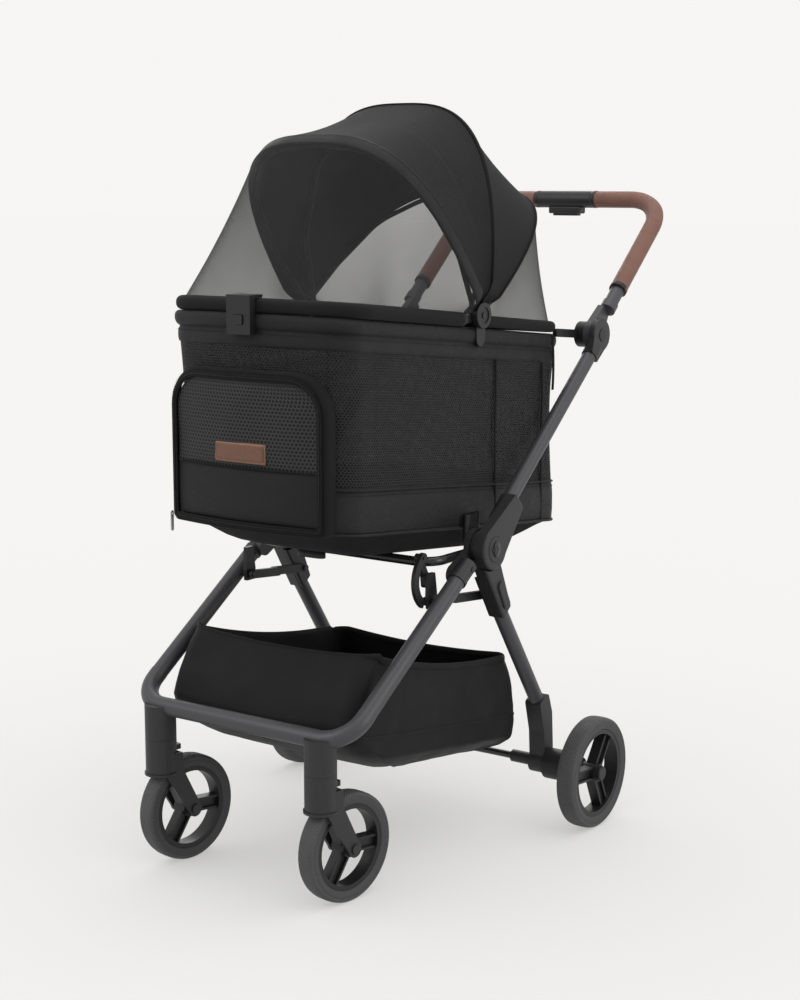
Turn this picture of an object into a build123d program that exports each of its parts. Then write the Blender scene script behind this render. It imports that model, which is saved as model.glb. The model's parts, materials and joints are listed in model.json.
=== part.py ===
"""Folding pet stroller: two-leg frame, lift-off pet carrier with a hinged canopy, storage basket.

Millimetres. +Z up, -Y is the front, +X is the stroller's left side.
"""
import os
from math import atan2, cos, degrees, hypot, radians, sin, tan

from build123d import *

os.makedirs("parts", exist_ok=True)

# ---- driving dimensions -------------------------------------------------
frame_x = 206.0            # plane of legs, push tubes and handle arms
leg_d = 27.0
bar_d = 28.0
rear_leg_d = 25.0
push_d = 24.0
gap = 0.3                  # clearance between pieces of different bodies

hub_y, hub_z = -82.0, 494.0            # fold axis
leg_slope = 33.8                       # front leg, degrees above level
leg_foot = (-395.0, 295.0)             # joint with the front bar
leg_head = (-160.0, 452.3)             # collar at the hub bracket
push_slope = 39.9
push_start = (-8.0, 560.6)             # where the tube leaves the hub housing
push_end = (246.0, 773.0)
rear_top = (-33.0, 381.0)              # rear leg tube ends
rear_foot = (88.0, 204.0)
pivot_y, pivot_z = 272.0, 808.0        # handle pivot
handle_slope = 41.2
grip_start = (342.0, 880.0)
cross_y, cross_z = 518.0, 1034.0       # handle crossbar
grip_d = 30.0

track_front = 158.0
stem_y, stem_seam_z = -447.0, 209.0
trail = 48.6
caster_turn = -8.17
front_r, front_w = 85.0, 31.0
rear_x, rear_y, rear_r, rear_w = 305.0, 104.0, 93.0, 33.0

cabin_w = 340.0            # carrier, outside
cabin_front = -417.0
cabin_rear = 216.0
wall = 5.0
tilt = 6.0                 # the carrier's bands fall to the rear
tilt_y, tilt_z = -100.0, 525.5         # lower edge of the bottom band
canopy_y, canopy_z = -50.0, 859.0      # canopy pivot
rim_angle = 173.4
bow_front = 126.9
bow_mid = 84.3
bow_rear = 36.5

middle_y = 22.773           # middle of the overall length

side = Plane.YZ            # sketches drawn from the stroller's left


def save(piece, name):
    """Store one piece, with the origin under the middle of the whole stroller."""
    part = Pos(0, -middle_y, 0) * piece.part
    part.label = name
    export_step(part, f"parts/{name}.step")


def pair(piece):
    """A left-hand piece together with its twin on the right."""
    with BuildPart() as both:
        add(piece.part)
        mirror(about=Plane.YZ)
    return both


def placed(piece, where):
    with BuildPart() as copy:
        with Locations(where):
            add(piece.part)
    return copy


def rod(a, b, diameter):
    """A round bar between two points."""
    with BuildPart() as bar:
        with BuildLine():
            Line(a, b)
        with BuildSketch(Plane(origin=a, z_dir=Vector(*b) - Vector(*a))):
            Circle(diameter / 2)
        sweep()
    return bar


def disc(centre, radius, x0, x1):
    """A round plate about an axis along X, between two X positions."""
    with BuildPart() as plate:
        with BuildSketch(side.offset(x0)):
            with Locations(centre):
                Circle(radius)
        extrude(amount=x1 - x0)
    return plate


def strap(a, b, width, x0, x1):
    """A flat bar with round ends in the side view."""
    length = hypot(b[0] - a[0], b[1] - a[1])
    turn = degrees(atan2(b[1] - a[1], b[0] - a[0]))
    with BuildPart() as bar:
        with BuildSketch(side.offset(x0)):
            with Locations(((a[0] + b[0]) / 2, (a[1] + b[1]) / 2)):
                SlotCenterToCenter(length, width, rotation=turn)
        extrude(amount=x1 - x0)
    return bar


def along(point, slope, distance):
    """A point further along a sloping line in the side view."""
    return (point[0] + distance * cos(radians(slope)), point[1] + distance * sin(radians(slope)))


hub = (hub_y, hub_z)
pivot = (pivot_y, pivot_z)
canopy = (canopy_y, canopy_z)


def at_x(x, point):
    return (x, point[0], point[1])


# ---- front frame ---------------------------------------------------------
# U-shaped front bar, lying in the plane of the two front legs
bar_reach = 62.0
bar_back = along(leg_foot, 180 + leg_slope, bar_reach)
bar_plane = Plane(
    origin=at_x(0, bar_back), x_dir=(1, 0, 0),
    z_dir=(0, -sin(radians(leg_slope)), cos(radians(leg_slope))),
)
with BuildPart() as front_bar:
    with BuildLine(bar_plane) as u_path:
        FilletPolyline(
            (-frame_x, bar_reach), (-frame_x, 0), (frame_x, 0), (frame_x, bar_reach), radius=52,
        )
    with BuildSketch(Plane(origin=u_path.line @ 0, z_dir=u_path.line % 0)):
        Circle(bar_d / 2)
    sweep()
save(front_bar, "front_bar")

seam = 0.15                # joint line between two tube pieces
front_legs = pair(rod(
    at_x(frame_x, along(leg_foot, leg_slope, seam)), at_x(frame_x, along(leg_head, leg_slope, -seam)), leg_d,
))
save(front_legs, "front_legs")

# hub bracket: socket on the front leg, then an inner cheek to the fold axis
socket_end = along(leg_head, leg_slope, 40)
collar_end = along(leg_head, leg_slope, 7)
cheek_x0, cheek_x1 = 187.0, 197.5
with BuildPart() as hub_brackets:
    add(rod(at_x(frame_x, leg_head), at_x(frame_x, collar_end), 31).part)
    add(rod(at_x(frame_x, collar_end), at_x(frame_x, socket_end), 29).part)
    add(strap(along(collar_end, leg_slope, 8), hub, 29, cheek_x0, cheek_x1).part)
    add(disc(hub, 30, cheek_x0, cheek_x1).part)
    with BuildSketch(side.offset(cheek_x0)):
        with Locations(hub):
            Circle(6)
    extrude(amount=40, mode=Mode.SUBTRACT)
    add(disc(along(leg_head, leg_slope, 30), 4.5, frame_x + 12, frame_x + 16).part)
    add(front_legs.part, mode=Mode.SUBTRACT)
    mirror(about=Plane.YZ)
save(hub_brackets, "hub_brackets")

# the two fold pins, each a headed shaft
with BuildPart() as hub_pins:
    add(disc(hub, 6, cheek_x0 - 3, 225).part)
    add(disc(hub, 11, cheek_x0 - 5, cheek_x0).part)
    mirror(about=Plane.YZ)
save(hub_pins, "hub_pins")

# caster sockets, saddled under the front bar
with BuildPart() as caster_sockets:
    with BuildSketch(Plane.XY.offset(stem_seam_z)):
        with Locations((track_front, stem_y), (-track_front, stem_y)):
            Circle(24.5)
    extrude(amount=bar_back[1] - stem_seam_z + 3)
    add(front_bar.part, mode=Mode.SUBTRACT)
    with BuildSketch(Plane.XY.offset(stem_seam_z)):
        with Locations((track_front, stem_y), (-track_front, stem_y)):
            Circle(7.05)
    extrude(amount=26, mode=Mode.SUBTRACT)
save(caster_sockets, "caster_sockets")

# plates on the front legs: they hold the seat bar, the stays and the transport hook
plate_x0, plate_x1 = 179.5, 186.5
stay_a, stay_m, stay_b = (-197.0, 424.0), (-132.0, 417.4), (-50.0, 409.0)
hook_pin = (-218.0, 497.0)
with BuildPart() as leg_plates:
    with BuildSketch(side.offset(plate_x0)):
        with BuildLine():
            Polyline((-206, 470), (-190, 470), (-184, 432), (-187, 414), (-206, 414), (-208, 432), close=True)
        make_face()
    extrude(amount=plate_x1 - plate_x0)
    add(disc(stay_a, 6, plate_x1, frame_x - leg_d / 2 + 3).part)
    add(disc(stay_a, 3, 171, plate_x0).part)
    add(disc(stay_a, 5.5, 168.5, 171).part)
    add(front_legs.part, mode=Mode.SUBTRACT)
    mirror(about=Plane.YZ)
    add(strap((-202, 466), hook_pin, 12, 170, 178).part)
    add(strap((-202, 466), (-200, 452), 12, 170, plate_x0).part)
    add(disc(hook_pin, 3, 178, 186.5).part)
save(leg_plates, "leg_plates")

# seat bar: a glossy U-shaped tube that carries the cabin
seat_x, seat_y, seat_z = 178.0, -188.0, 483.0
with BuildPart() as seat_bar:
    with BuildLine(Plane.XY.offset(seat_z)) as seat_path:
        FilletPolyline(
            (-seat_x, hub_y + 8), (-seat_x, seat_y), (seat_x, seat_y), (seat_x, hub_y + 8), radius=34,
        )
    with BuildSketch(Plane(origin=seat_path.line @ 0, z_dir=seat_path.line % 0)):
        Circle(7.5)
    sweep()
    add(leg_plates.part, mode=Mode.SUBTRACT)
    add(hub_pins.part, mode=Mode.SUBTRACT)
save(seat_bar, "seat_bar")

# oval adapter sockets, open at the top, on the hub's inner side
with BuildPart() as adapter_sockets:
    with BuildSketch(Plane.XY.offset(497)):
        with Locations((181, -80), (-181, -80)):
            SlotCenterToCenter(26, 12, rotation=90)
    extrude(amount=50)
    with BuildSketch(Plane.XY.offset(503)):
        with Locations((181, -80), (-181, -80)):
            SlotCenterToCenter(26, 8, rotation=90)
    extrude(amount=50, mode=Mode.SUBTRACT)
    add(hub_pins.part, mode=Mode.SUBTRACT)
save(adapter_sockets, "adapter_sockets")

# ---- rear frame ----------------------------------------------------------
mid_x0, mid_x1 = 197.8, 207.7
rear_slope = degrees(atan2(rear_foot[1] - rear_top[1], rear_foot[0] - rear_top[0]))
rear_legs = pair(rod(at_x(frame_x, rear_top), at_x(frame_x, rear_foot), rear_leg_d))
save(rear_legs, "rear_legs")

with BuildPart() as rear_hubs:
    with BuildSketch(side.offset(mid_x0)) as neck:
        with BuildLine():
            Polyline((-108, 478), (-57, 484), (-22, 389), (-44, 373), close=True)
        make_face()
    extrude(amount=mid_x1 - mid_x0)
    with BuildSketch(side.offset(190)):
        with BuildLine():
            Polyline((-101, 466), (-59, 474), (-23, 390), (-43, 373), close=True)
        make_face()
    extrude(amount=31)
    fillet(edges().filter_by(GeomType.LINE).group_by(SortBy.LENGTH)[-1], 4)
    with BuildSketch(side.offset(180)):
        with Locations(hub):
            Circle(50)
            Circle(6, mode=Mode.SUBTRACT)
    extrude(amount=mid_x0 - 180, mode=Mode.SUBTRACT)
    with BuildSketch(side.offset(mid_x1)):
        with Locations(hub):
            Circle(36.5)
    extrude(amount=30, mode=Mode.SUBTRACT)
    add(disc(hub, 27, mid_x0, mid_x1).part)
    with BuildSketch(side.offset(mid_x0)):
        with Locations(hub):
            Circle(6.05)
    extrude(amount=20, mode=Mode.SUBTRACT)
    add(disc(stay_b, 3, 178, 192).part)
    add(disc(stay_b, 5.5, 177, 179.8).part)
    add(rear_legs.part, mode=Mode.SUBTRACT)
    mirror(about=Plane.YZ)
save(rear_hubs, "rear_hubs")

# raised oval covers on the rear hub castings
with BuildPart() as lock_covers:
    add(strap((-54, 428), (-37, 396), 17, 215, 224.5).part)
    fillet(faces().sort_by(Axis.X)[-1].edges(), 2)
    add(rear_hubs.part, mode=Mode.SUBTRACT)
    mirror(about=Plane.YZ)
save(lock_covers, "lock_covers")

# lower brackets, from the leg tubes down to the axle
axle = (rear_y, rear_r)
with BuildPart() as leg_brackets:
    with BuildSketch(side.offset(191)):
        with BuildLine():
            Polyline((74, 203), (101, 216), (114, 180), (119, 100), (92, 84), (88, 150), close=True)
        make_face()
        fillet(vertices(), 5)
    extrude(amount=30)
    add(disc(axle, 19, 191, 221).part)
    add(disc(axle, 10.5, 150, 191).part)
    add(disc(axle, 6, 140, 240).part, mode=Mode.SUBTRACT)
    add(rear_legs.part, mode=Mode.SUBTRACT)
    mirror(about=Plane.YZ)
save(leg_brackets, "leg_brackets")

wheel_inner = rear_x - rear_w / 2
rear_axle = rod((-rear_x - 15, *axle), (rear_x + 15, *axle), 12)
save(rear_axle, "rear_axle")
with BuildPart() as brake_drums:
    add(disc(axle, 26, 221, 262).part)
    add(disc(axle, 20, 262, wheel_inner - 4).part)
    with BuildSketch(side.offset(221)):
        with Locations(axle):
            Circle(6)
    extrude(amount=90, mode=Mode.SUBTRACT)
    mirror(about=Plane.YZ)
save(brake_drums, "brake_drums")


# ---- wheels --------------------------------------------------------------
def tyre(radius, width, section):
    """A solid tyre about X: rounded tread, inner bore at the rim."""
    with BuildPart() as ring:
        with BuildSketch(Plane.XY):
            with Locations((0, radius - section / 2)):
                RectangleRounded(width, section, min(section, width) * 0.34)
        revolve(axis=Axis.X)
    return ring


def rim(radius, width, bore, turn):
    """A wheel centre about X: ring, hub and three double-ribbed spokes."""
    with BuildPart() as centre:
        with BuildSketch(Plane.YZ.offset(-width / 2)):
            Circle(radius)
            Circle(radius - 7, mode=Mode.SUBTRACT)
        extrude(amount=width)
        with BuildSketch(Plane.YZ.offset(-width / 2 - 1)):
            Circle(15)
        extrude(amount=width + 2)
        with BuildSketch(Plane.YZ.offset(-4)):
            with PolarLocations(radius / 2, 3, start_angle=turn):
                Rectangle(radius - 8, 21)
        extrude(amount=8)
        with BuildSketch(Plane.YZ.offset(-9)):
            with PolarLocations(radius / 2, 3, start_angle=turn):
                with Locations((0, 9), (0, -9)):
                    Rectangle(radius - 10, 3.5)
        extrude(amount=18)
        with BuildSketch(Plane.YZ.offset(-width)):
            Circle(bore)
        extrude(amount=2 * width, mode=Mode.SUBTRACT)
    return centre


front_tyre = tyre(front_r, front_w, 19)
front_rim = rim(front_r - 19, 24, 5.05, 115)
rear_tyre = tyre(rear_r, rear_w, 20)
rear_rim = rim(rear_r - 20, 26, 6.05, 175)
with BuildPart() as rear_centre:
    add(rear_rim.part)
    with BuildSketch(Plane.YZ.offset(13)):
        Circle(14)
        Circle(6.05, mode=Mode.SUBTRACT)
    extrude(amount=2.2)
    with BuildSketch(Plane.YZ.offset(15.2)):
        Circle(12)
    extrude(amount=6)
    fillet(faces().sort_by(Axis.X)[-1].edges(), 2.5)

for label, sign in (("left", 1), ("right", -1)):
    spot = Location((sign * rear_x, rear_y, rear_r), (0, 0, 0 if sign > 0 else 180))
    save(placed(rear_tyre, spot), f"rear_tyre_{label}")
    save(placed(rear_centre, spot), f"rear_rim_{label}")


# ---- casters -------------------------------------------------------------
# drawn about the swivel axis with the wheel straight behind it
cheek_in, cheek_out = 17.5, 23.5
wheel_spot = (trail, front_r)
with BuildPart() as fork:
    with BuildSketch(side.offset(-cheek_out)):
        with BuildLine():
            Polyline(
                (-8, 184), (-8, 150), (40, 76), (58, 92), (24, 158), (24, 184), close=True,
            )
        make_face()
    extrude(amount=2 * cheek_out)
    add(disc(wheel_spot, 13, -cheek_out, cheek_out).part)
    with BuildSketch(Plane.XY.offset(150)):
        Circle(24.5)
    extrude(amount=stem_seam_z - gap - 150)
    with BuildSketch(Plane.XY.offset(150)):
        Circle(26.5)
    extrude(amount=4)
    with BuildSketch(side.offset(-cheek_in)):
        with Locations(wheel_spot):
            Circle(front_r + 4)
    extrude(amount=2 * cheek_in, mode=Mode.SUBTRACT)
    add(disc(wheel_spot, 5, -cheek_out, cheek_out).part)
    add(disc(wheel_spot, 8, cheek_out, cheek_out + 3).part)
    add(disc(wheel_spot, 8, -cheek_out - 3, -cheek_out).part)
    with BuildSketch(Plane.XY.offset(stem_seam_z - gap)):
        Circle(7)
    extrude(amount=24)
    with BuildSketch(Plane.XY.offset(184)):
        with Locations((0, 25)):
            Rectangle(16.6, 14)
    extrude(amount=14.3, mode=Mode.SUBTRACT)

with BuildPart() as swivel_tab:
    with BuildSketch(Plane.XY.offset(184.3)):
        with Locations((0, 27)):
            Rectangle(16, 16)
    extrude(amount=8)
    fillet(edges().filter_by(Axis.Z).group_by(Axis.Y)[-1], 3)

for label, sign in (("left", 1), ("right", -1)):
    stem = Location((sign * track_front, stem_y, 0), (0, 0, caster_turn))
    on_axle = stem * Location((0, *wheel_spot))
    save(placed(fork, stem), f"caster_fork_{label}")
    save(placed(swivel_tab, stem), f"swivel_tab_{label}")
    save(placed(front_tyre, on_axle), f"front_tyre_{label}")
    save(placed(front_rim, on_axle), f"front_rim_{label}")

# ---- push frame ----------------------------------------------------------
outer_x0, outer_x1 = 208.0, 229.0
with BuildPart() as push_tubes:
    add(rod(at_x(frame_x, along(push_start, push_slope, seam)),
            at_x(frame_x, along(push_end, push_slope, -seam)), push_d).part)
    for distance in (196, 222):
        stud = along(push_start, push_slope, distance)
        add(rod(at_x(frame_x, along(stud, push_slope - 90, 8)),
                at_x(frame_x, along(stud, push_slope - 90, 15)), 6).part)
    mirror(about=Plane.YZ)
save(push_tubes, "push_tubes")

with BuildPart() as hub_housings:
    with BuildSketch(side.offset(outer_x0)):
        with Locations(hub):
            Circle(34)
        with BuildLine():
            Polyline(
                along(hub, push_slope + 78, 34), along(push_start, push_slope + 90, 15.5),
                along(push_start, push_slope - 90, 15.5), along(hub, push_slope - 62, 34), close=True,
            )
        make_face()
    extrude(amount=outer_x1 - outer_x0)
    fillet(faces().sort_by(Axis.X)[-1].edges(), 4)
    add(rod(at_x(frame_x, along(push_start, push_slope, -46)),
            at_x(frame_x, along(push_start, push_slope, -seam)), 30).part)
    with BuildSketch(side.offset(150)):
        with Locations(hub):
            Circle(37)
    extrude(amount=outer_x0 - 150, mode=Mode.SUBTRACT)
    with BuildSketch(side.offset(outer_x1 - 2)):
        with Locations(hub):
            Circle(21)
    extrude(amount=5, mode=Mode.SUBTRACT)
    with BuildSketch(side.offset(outer_x0)):
        with Locations(hub):
            Circle(6.05)
    extrude(amount=17.3, mode=Mode.SUBTRACT)
    mirror(about=Plane.YZ)
save(hub_housings, "hub_housings")

# round badge discs with a plain raised cross
with BuildPart() as hub_discs:
    add(disc(hub, 20.5, outer_x1 - 2, outer_x1 + 1).part)
    fillet(faces().sort_by(Axis.X)[-1].edges(), 1)
    with BuildSketch(side.offset(outer_x1 + 1)):
        with Locations(hub):
            Rectangle(26, 3)
            Rectangle(3, 26)
    extrude(amount=1)
    mirror(about=Plane.YZ)
save(hub_discs, "hub_discs")

# handle pivots: lower casting outside, handle casting inside
button_r = 11.0
low_x0, low_x1 = 205.2, 217.0
with BuildPart() as pivot_bases:
    add(disc(pivot, 28, low_x0, low_x1).part)
    fillet(faces().sort_by(Axis.X)[-1].edges(), 3)
    add(rod(at_x(frame_x, along(push_end, push_slope, seam)),
            at_x(frame_x, along(push_end, push_slope, 22)), 28).part)
    with BuildSketch(side.offset(low_x0)):
        with BuildLine():
            Polyline(
                along(push_end, push_slope - 90, 13), along(push_end, push_slope + 90, 13),
                along(pivot, 150, 27), along(pivot, -30, 27), close=True,
            )
        make_face()
    extrude(amount=low_x1 - low_x0)
    with BuildSketch(side.offset(150)):
        with Locations(pivot):
            Circle(29)
    extrude(amount=low_x0 - 150, mode=Mode.SUBTRACT)
    with BuildSketch(side.offset(low_x0 + 2)):
        with Locations(pivot):
            Circle(button_r + gap)
    extrude(amount=20, mode=Mode.SUBTRACT)
    with BuildSketch(side.offset(low_x0)):
        with Locations(pivot):
            Circle(5.05)
    extrude(amount=5, mode=Mode.SUBTRACT)
    mirror(about=Plane.YZ)
save(pivot_bases, "pivot_bases")

with BuildPart() as pivot_button_left:
    add(disc(pivot, button_r, low_x0 + 5.4, low_x1 + 1.5).part)
    fillet(faces().sort_by(Axis.X)[-1].edges(), 1.2)
save(pivot_button_left, "pivot_button_left")
with BuildPart() as pivot_button_right:
    add(mirror(pivot_button_left.part, about=Plane.YZ))
save(pivot_button_right, "pivot_button_right")

# ---- handle --------------------------------------------------------------
arm_foot = along(grip_start, handle_slope, -48)
with BuildPart() as handle_arms:
    add(rod(at_x(frame_x, arm_foot), at_x(frame_x, along(grip_start, handle_slope, -seam)), push_d).part)
    add(rod(at_x(frame_x, arm_foot), at_x(frame_x, along(arm_foot, handle_slope, 16)), 28).part)
    with BuildSketch(side.offset(192.5)):
        with Locations(pivot):
            Circle(26)
        with BuildLine():
            Polyline(
                along(pivot, 130, 25), along(pivot, -48, 25),
                along(arm_foot, handle_slope - 90, 12), along(arm_foot, handle_slope + 90, 12), close=True,
            )
        make_face()
    extrude(amount=low_x0 - gap - 192.5)
    add(disc(pivot, 29, low_x0 - gap, 230).part, mode=Mode.SUBTRACT)
    add(disc(pivot, 5, low_x0 - gap, low_x0 + 2).part)
    mirror(about=Plane.YZ)
save(handle_arms, "handle_arms")

# leather-wrapped ends of the handlebar, in the plane of the arms
core_half = 56.0
reach = hypot(cross_y - grip_start[0], cross_z - grip_start[1])
rise = degrees(atan2(cross_z - grip_start[1], cross_y - grip_start[0]))
grip_plane = Plane(
    origin=at_x(0, grip_start), x_dir=(1, 0, 0), z_dir=(0, -sin(radians(rise)), cos(radians(rise))),
)
with BuildPart() as grips:
    with BuildLine(grip_plane) as grip_path:
        FilletPolyline((frame_x, 0), (frame_x, reach), (core_half, reach), radius=72)
    with BuildSketch(Plane(origin=grip_path.line @ 0, z_dir=grip_path.line % 0)):
        Circle(grip_d / 2)
    sweep()
    add(handle_arms.part, mode=Mode.SUBTRACT)
    mirror(about=Plane.YZ)
save(grips, "grips")

with BuildPart() as handle_core:
    with BuildSketch(side.offset(-core_half)):
        with Locations((cross_y, cross_z)):
            Circle(grip_d / 2 + 0.5)
    extrude(amount=2 * core_half)
    with BuildSketch(side.offset(-33)):
        with Locations((cross_y, cross_z - 19)):
            RectangleRounded(20, 14, 4)
    extrude(amount=66)
    with BuildSketch(Plane.XY.offset(cross_z - 30)):
        with Locations((0, cross_y)):
            Rectangle(52.6, 12.6)
    extrude(amount=14, mode=Mode.SUBTRACT)
save(handle_core, "handle_core")

with BuildPart() as fold_trigger:
    with BuildSketch(Plane.XY.offset(cross_z - 30)):
        with Locations((0, cross_y)):
            Rectangle(52, 12)
    extrude(amount=8)
    fillet(edges().filter_by(Axis.X).group_by(Axis.Z)[0], 2)
save(fold_trigger, "fold_trigger")

# ---- fold stays under the seat -------------------------------------------
with BuildPart() as front_stays:
    add(strap(stay_a, stay_m, 14, 171.5, 179.2).part)
    add(disc(stay_a, 3.05, 160, 190).part, mode=Mode.SUBTRACT)
    add(disc(stay_m, 5, 179.2, 180).part)
    mirror(about=Plane.YZ)
save(front_stays, "front_stays")
with BuildPart() as rear_stays:
    add(strap(stay_m, stay_b, 14, 180.3, 187).part)
    add(disc(stay_b, 3.05, 160, 190).part, mode=Mode.SUBTRACT)
    mirror(about=Plane.YZ)
save(rear_stays, "rear_stays")

# transport hook, hanging inside the left front leg
with BuildPart() as transport_hook:
    with BuildSketch(side.offset(178.5)):
        with BuildLine() as bend:
            ThreePointArc(hook_pin, (-238, 462), (-218, 424))
        trace(line_width=13)
        with Locations(hook_pin):
            Circle(8)
            Circle(3.05, mode=Mode.SUBTRACT)
    extrude(amount=6.5)
save(transport_hook, "transport_hook")

# ---- carrier -------------------------------------------------------------
def level(y, height):
    """Z of the carrier's sloping levels, a height above the bottom band's lower edge."""
    return tilt_z + height - tan(radians(tilt)) * (y - tilt_y)


def cabin_plan(inset):
    half, front, rear = cabin_w / 2 - inset, cabin_front + inset, cabin_rear - inset
    with BuildSketch() as plan:
        with BuildLine():
            ThreePointArc((-half, front + 24), (0, front), (half, front + 24))
            Polyline((half, front + 24), (half, rear), (-half, rear), (-half, front + 24))
        make_face()
        fillet(vertices().group_by(Axis.Y)[0], 56 - inset)
        fillet(vertices().group_by(Axis.Y)[-1], 40 - inset)
    return plan.sketch


def cabin_ring(low, high, inset, thickness):
    """A sloping band of the cabin wall between two levels."""
    outer = cabin_plan(inset)
    inner = cabin_plan(inset + thickness)
    with BuildPart() as ring:
        with BuildSketch(Plane.XY.offset(400)):
            add(outer)
            add(inner, mode=Mode.SUBTRACT)
        extrude(amount=600)
        with BuildSketch(side.offset(-250)):
            with BuildLine():
                Polyline((-500, level(-500, low)), (-500, level(-500, high)),
                         (300, level(300, high)), (300, level(300, low)), close=True)
            make_face()
        extrude(amount=500, mode=Mode.INTERSECT)
    return ring


band_top, upper_low, upper_top, hoop_level = 66.0, 276.0, 318.4, 330.0
bottom_band = cabin_ring(0, band_top, 0, wall)
save(bottom_band, "bottom_band")
mesh_walls = cabin_ring(band_top, upper_low, 1, 3)
save(mesh_walls, "mesh_walls")
top_band = cabin_ring(upper_low, upper_top, -2, 8)
save(top_band, "top_band")

# stiff floor tray with a keel that narrows towards the ends
tray_plan = cabin_plan(wall)
with BuildPart() as floor_tray:
    with BuildSketch(Plane.XY.offset(400)):
        add(tray_plan)
    extrude(amount=400)
    with BuildSketch(side.offset(-250)):
        with BuildLine():
            Polyline((-500, level(-500, 0)), (-500, level(-500, 8)), (300, level(300, 8)),
                     (300, level(300, 0)), close=True)
        make_face()
    extrude(amount=500, mode=Mode.INTERSECT)
    chamfer(faces().sort_by(SortBy.AREA)[-2:].sort_by(Axis.Z)[-1].edges(), 1.5)
    with BuildSketch(side.offset(-148)):
        with BuildLine():
            Polyline((-395, level(-395, 0)), (-330, level(-330, -40)), (85, level(85, -44)),
                     (196, level(196, 0)), close=True)
        make_face()
    extrude(amount=296)
    with BuildSketch(Plane.XY.offset(484)):
        with Locations((0, -262)):
            SlotCenterToCenter(36, 16)
    extrude(amount=24)
save(floor_tray, "floor_tray")

# zipped panel on the front, padded out from the wall, with a blank leather patch
panel_half, panel_low, panel_high, panel_out = 150.0, 560.0, 794.0, 18.0
wall_plan = cabin_plan(0)
panel_plan = cabin_plan(-panel_out)
patch_plan = cabin_plan(-panel_out - 2)
with BuildPart() as front_panel:
    with BuildSketch(Plane.XY.offset(panel_low)):
        add(panel_plan)
        add(wall_plan, mode=Mode.SUBTRACT)
        with Locations((0, cabin_front)):
            Rectangle(2 * panel_half, 90, mode=Mode.INTERSECT)
    extrude(amount=panel_high - panel_low)
    with BuildSketch(Plane.XZ.offset(300)):
        with Locations((0, (panel_low + panel_high) / 2)):
            Rectangle(2 * panel_half, panel_high - panel_low)
        fillet(vertices().group_by(Axis.Z)[-1], 62)
        fillet(vertices().group_by(Axis.Z)[0], 10)
    extrude(amount=200, mode=Mode.INTERSECT)
save(front_panel, "front_panel")
patch_z = 671.0
with BuildPart() as leather_patch:
    with BuildSketch(Plane.XY.offset(patch_z - 15)):
        add(patch_plan)
        add(panel_plan, mode=Mode.SUBTRACT)
        with Locations((0, cabin_front)):
            Rectangle(96, 90, mode=Mode.INTERSECT)
    extrude(amount=30)
save(leather_patch, "leather_patch")
with BuildPart() as zip_pull:
    with BuildSketch(Plane.YZ.offset(-panel_half - 3.5)):
        with Locations((-416, 550)):
            SlotCenterToCenter(26, 6, rotation=90)
            with Locations((0, 11)):
                Circle(1.3, mode=Mode.SUBTRACT)
    extrude(amount=1.6)
save(zip_pull, "zip_pull")

# ---- canopy --------------------------------------------------------------
bow_d = 8.0


def fan(angle, shift=0.0):
    """A plane through the canopy pivot, its y axis leaning at an angle above the rear."""
    normal = (0, -sin(radians(angle)), cos(radians(angle)))
    return Plane(origin=(0, canopy_y, canopy_z), x_dir=(1, 0, 0), z_dir=normal).offset(shift)


def arch(half, rise, turn):
    """A point on a squared-off arch, turn degrees round from its left foot."""
    c, s = cos(radians(turn)), sin(radians(turn))
    across = abs(c) ** (2 / 3) * half
    return (across if c > 0 else -across, s ** (2 / 3) * rise)


turns = (3, 14, 32, 58, 90, 122, 148, 166, 177)


def arch_strip(half, rise, thick):
    """The cloth's cut face: the band between an arch and one a thickness inside it."""
    with BuildSketch() as strip:
        with BuildLine():
            outer = Spline([arch(half, rise, t) for t in turns])
            inner = Spline([arch(half - thick, rise - thick, t) for t in turns])
            Line(outer @ 0, inner @ 0)
            Line(outer @ 1, inner @ 1)
        make_face()
    return strip.sketch


def hood(lower, upper, bows, thick=2.0):
    """Cloth stretched between two arches, each (plane, half width, rise), clear of its bows."""
    strips = [(where, arch_strip(half, rise, thick)) for where, half, rise in (lower, upper)]
    with BuildPart() as cloth:
        for where, strip in strips:
            with BuildSketch(where):
                add(strip)
        loft(ruled=True)
        for wire in bows:
            add(wire.part, mode=Mode.SUBTRACT)
    return cloth


def bow(angle, foot_x, foot_r, half, rise):
    """A round wire bow from one pivot plate over to the other: straight runs and bends."""
    right = [(foot_x, foot_r), (half, 0.36 * rise), (0.9 * half, 0.74 * rise), (0.52 * half, 0.965 * rise)]
    left = [(-x, y) for x, y in reversed(right)]
    with BuildPart() as wire:
        with BuildLine(fan(angle)) as path:
            FilletPolyline(*right, (0, rise), *left, radius=85)
        with BuildSketch(Plane(origin=path.line @ 0, z_dir=path.line % 0)):
            Circle(bow_d / 2)
        sweep()
    return wire


front_half, front_rise = 192.0, 340.0
mid_half, mid_rise = 192.0, 333.0
rear_half, rear_rise = 186.0, 326.0
rim_half = 166.0
under = 10.0               # bow centre below the cloth's outer face

rim_plane = Plane(
    origin=(0, 0, level(0, hoop_level)), x_dir=(1, 0, 0), z_dir=(0, sin(radians(tilt)), cos(radians(tilt))),
)
hoop_x = 168.0
with BuildPart() as front_hoop:
    with BuildLine(rim_plane) as front_rim_path:
        FilletPolyline(
            (-hoop_x, -92), (-hoop_x, -394), (0, -412), (hoop_x, -394), (hoop_x, -92), radius=58,
        )
    with BuildSketch(Plane(origin=front_rim_path.line @ 0, z_dir=front_rim_path.line % 0)):
        Circle(11)
    sweep()
save(front_hoop, "front_hoop")

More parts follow.
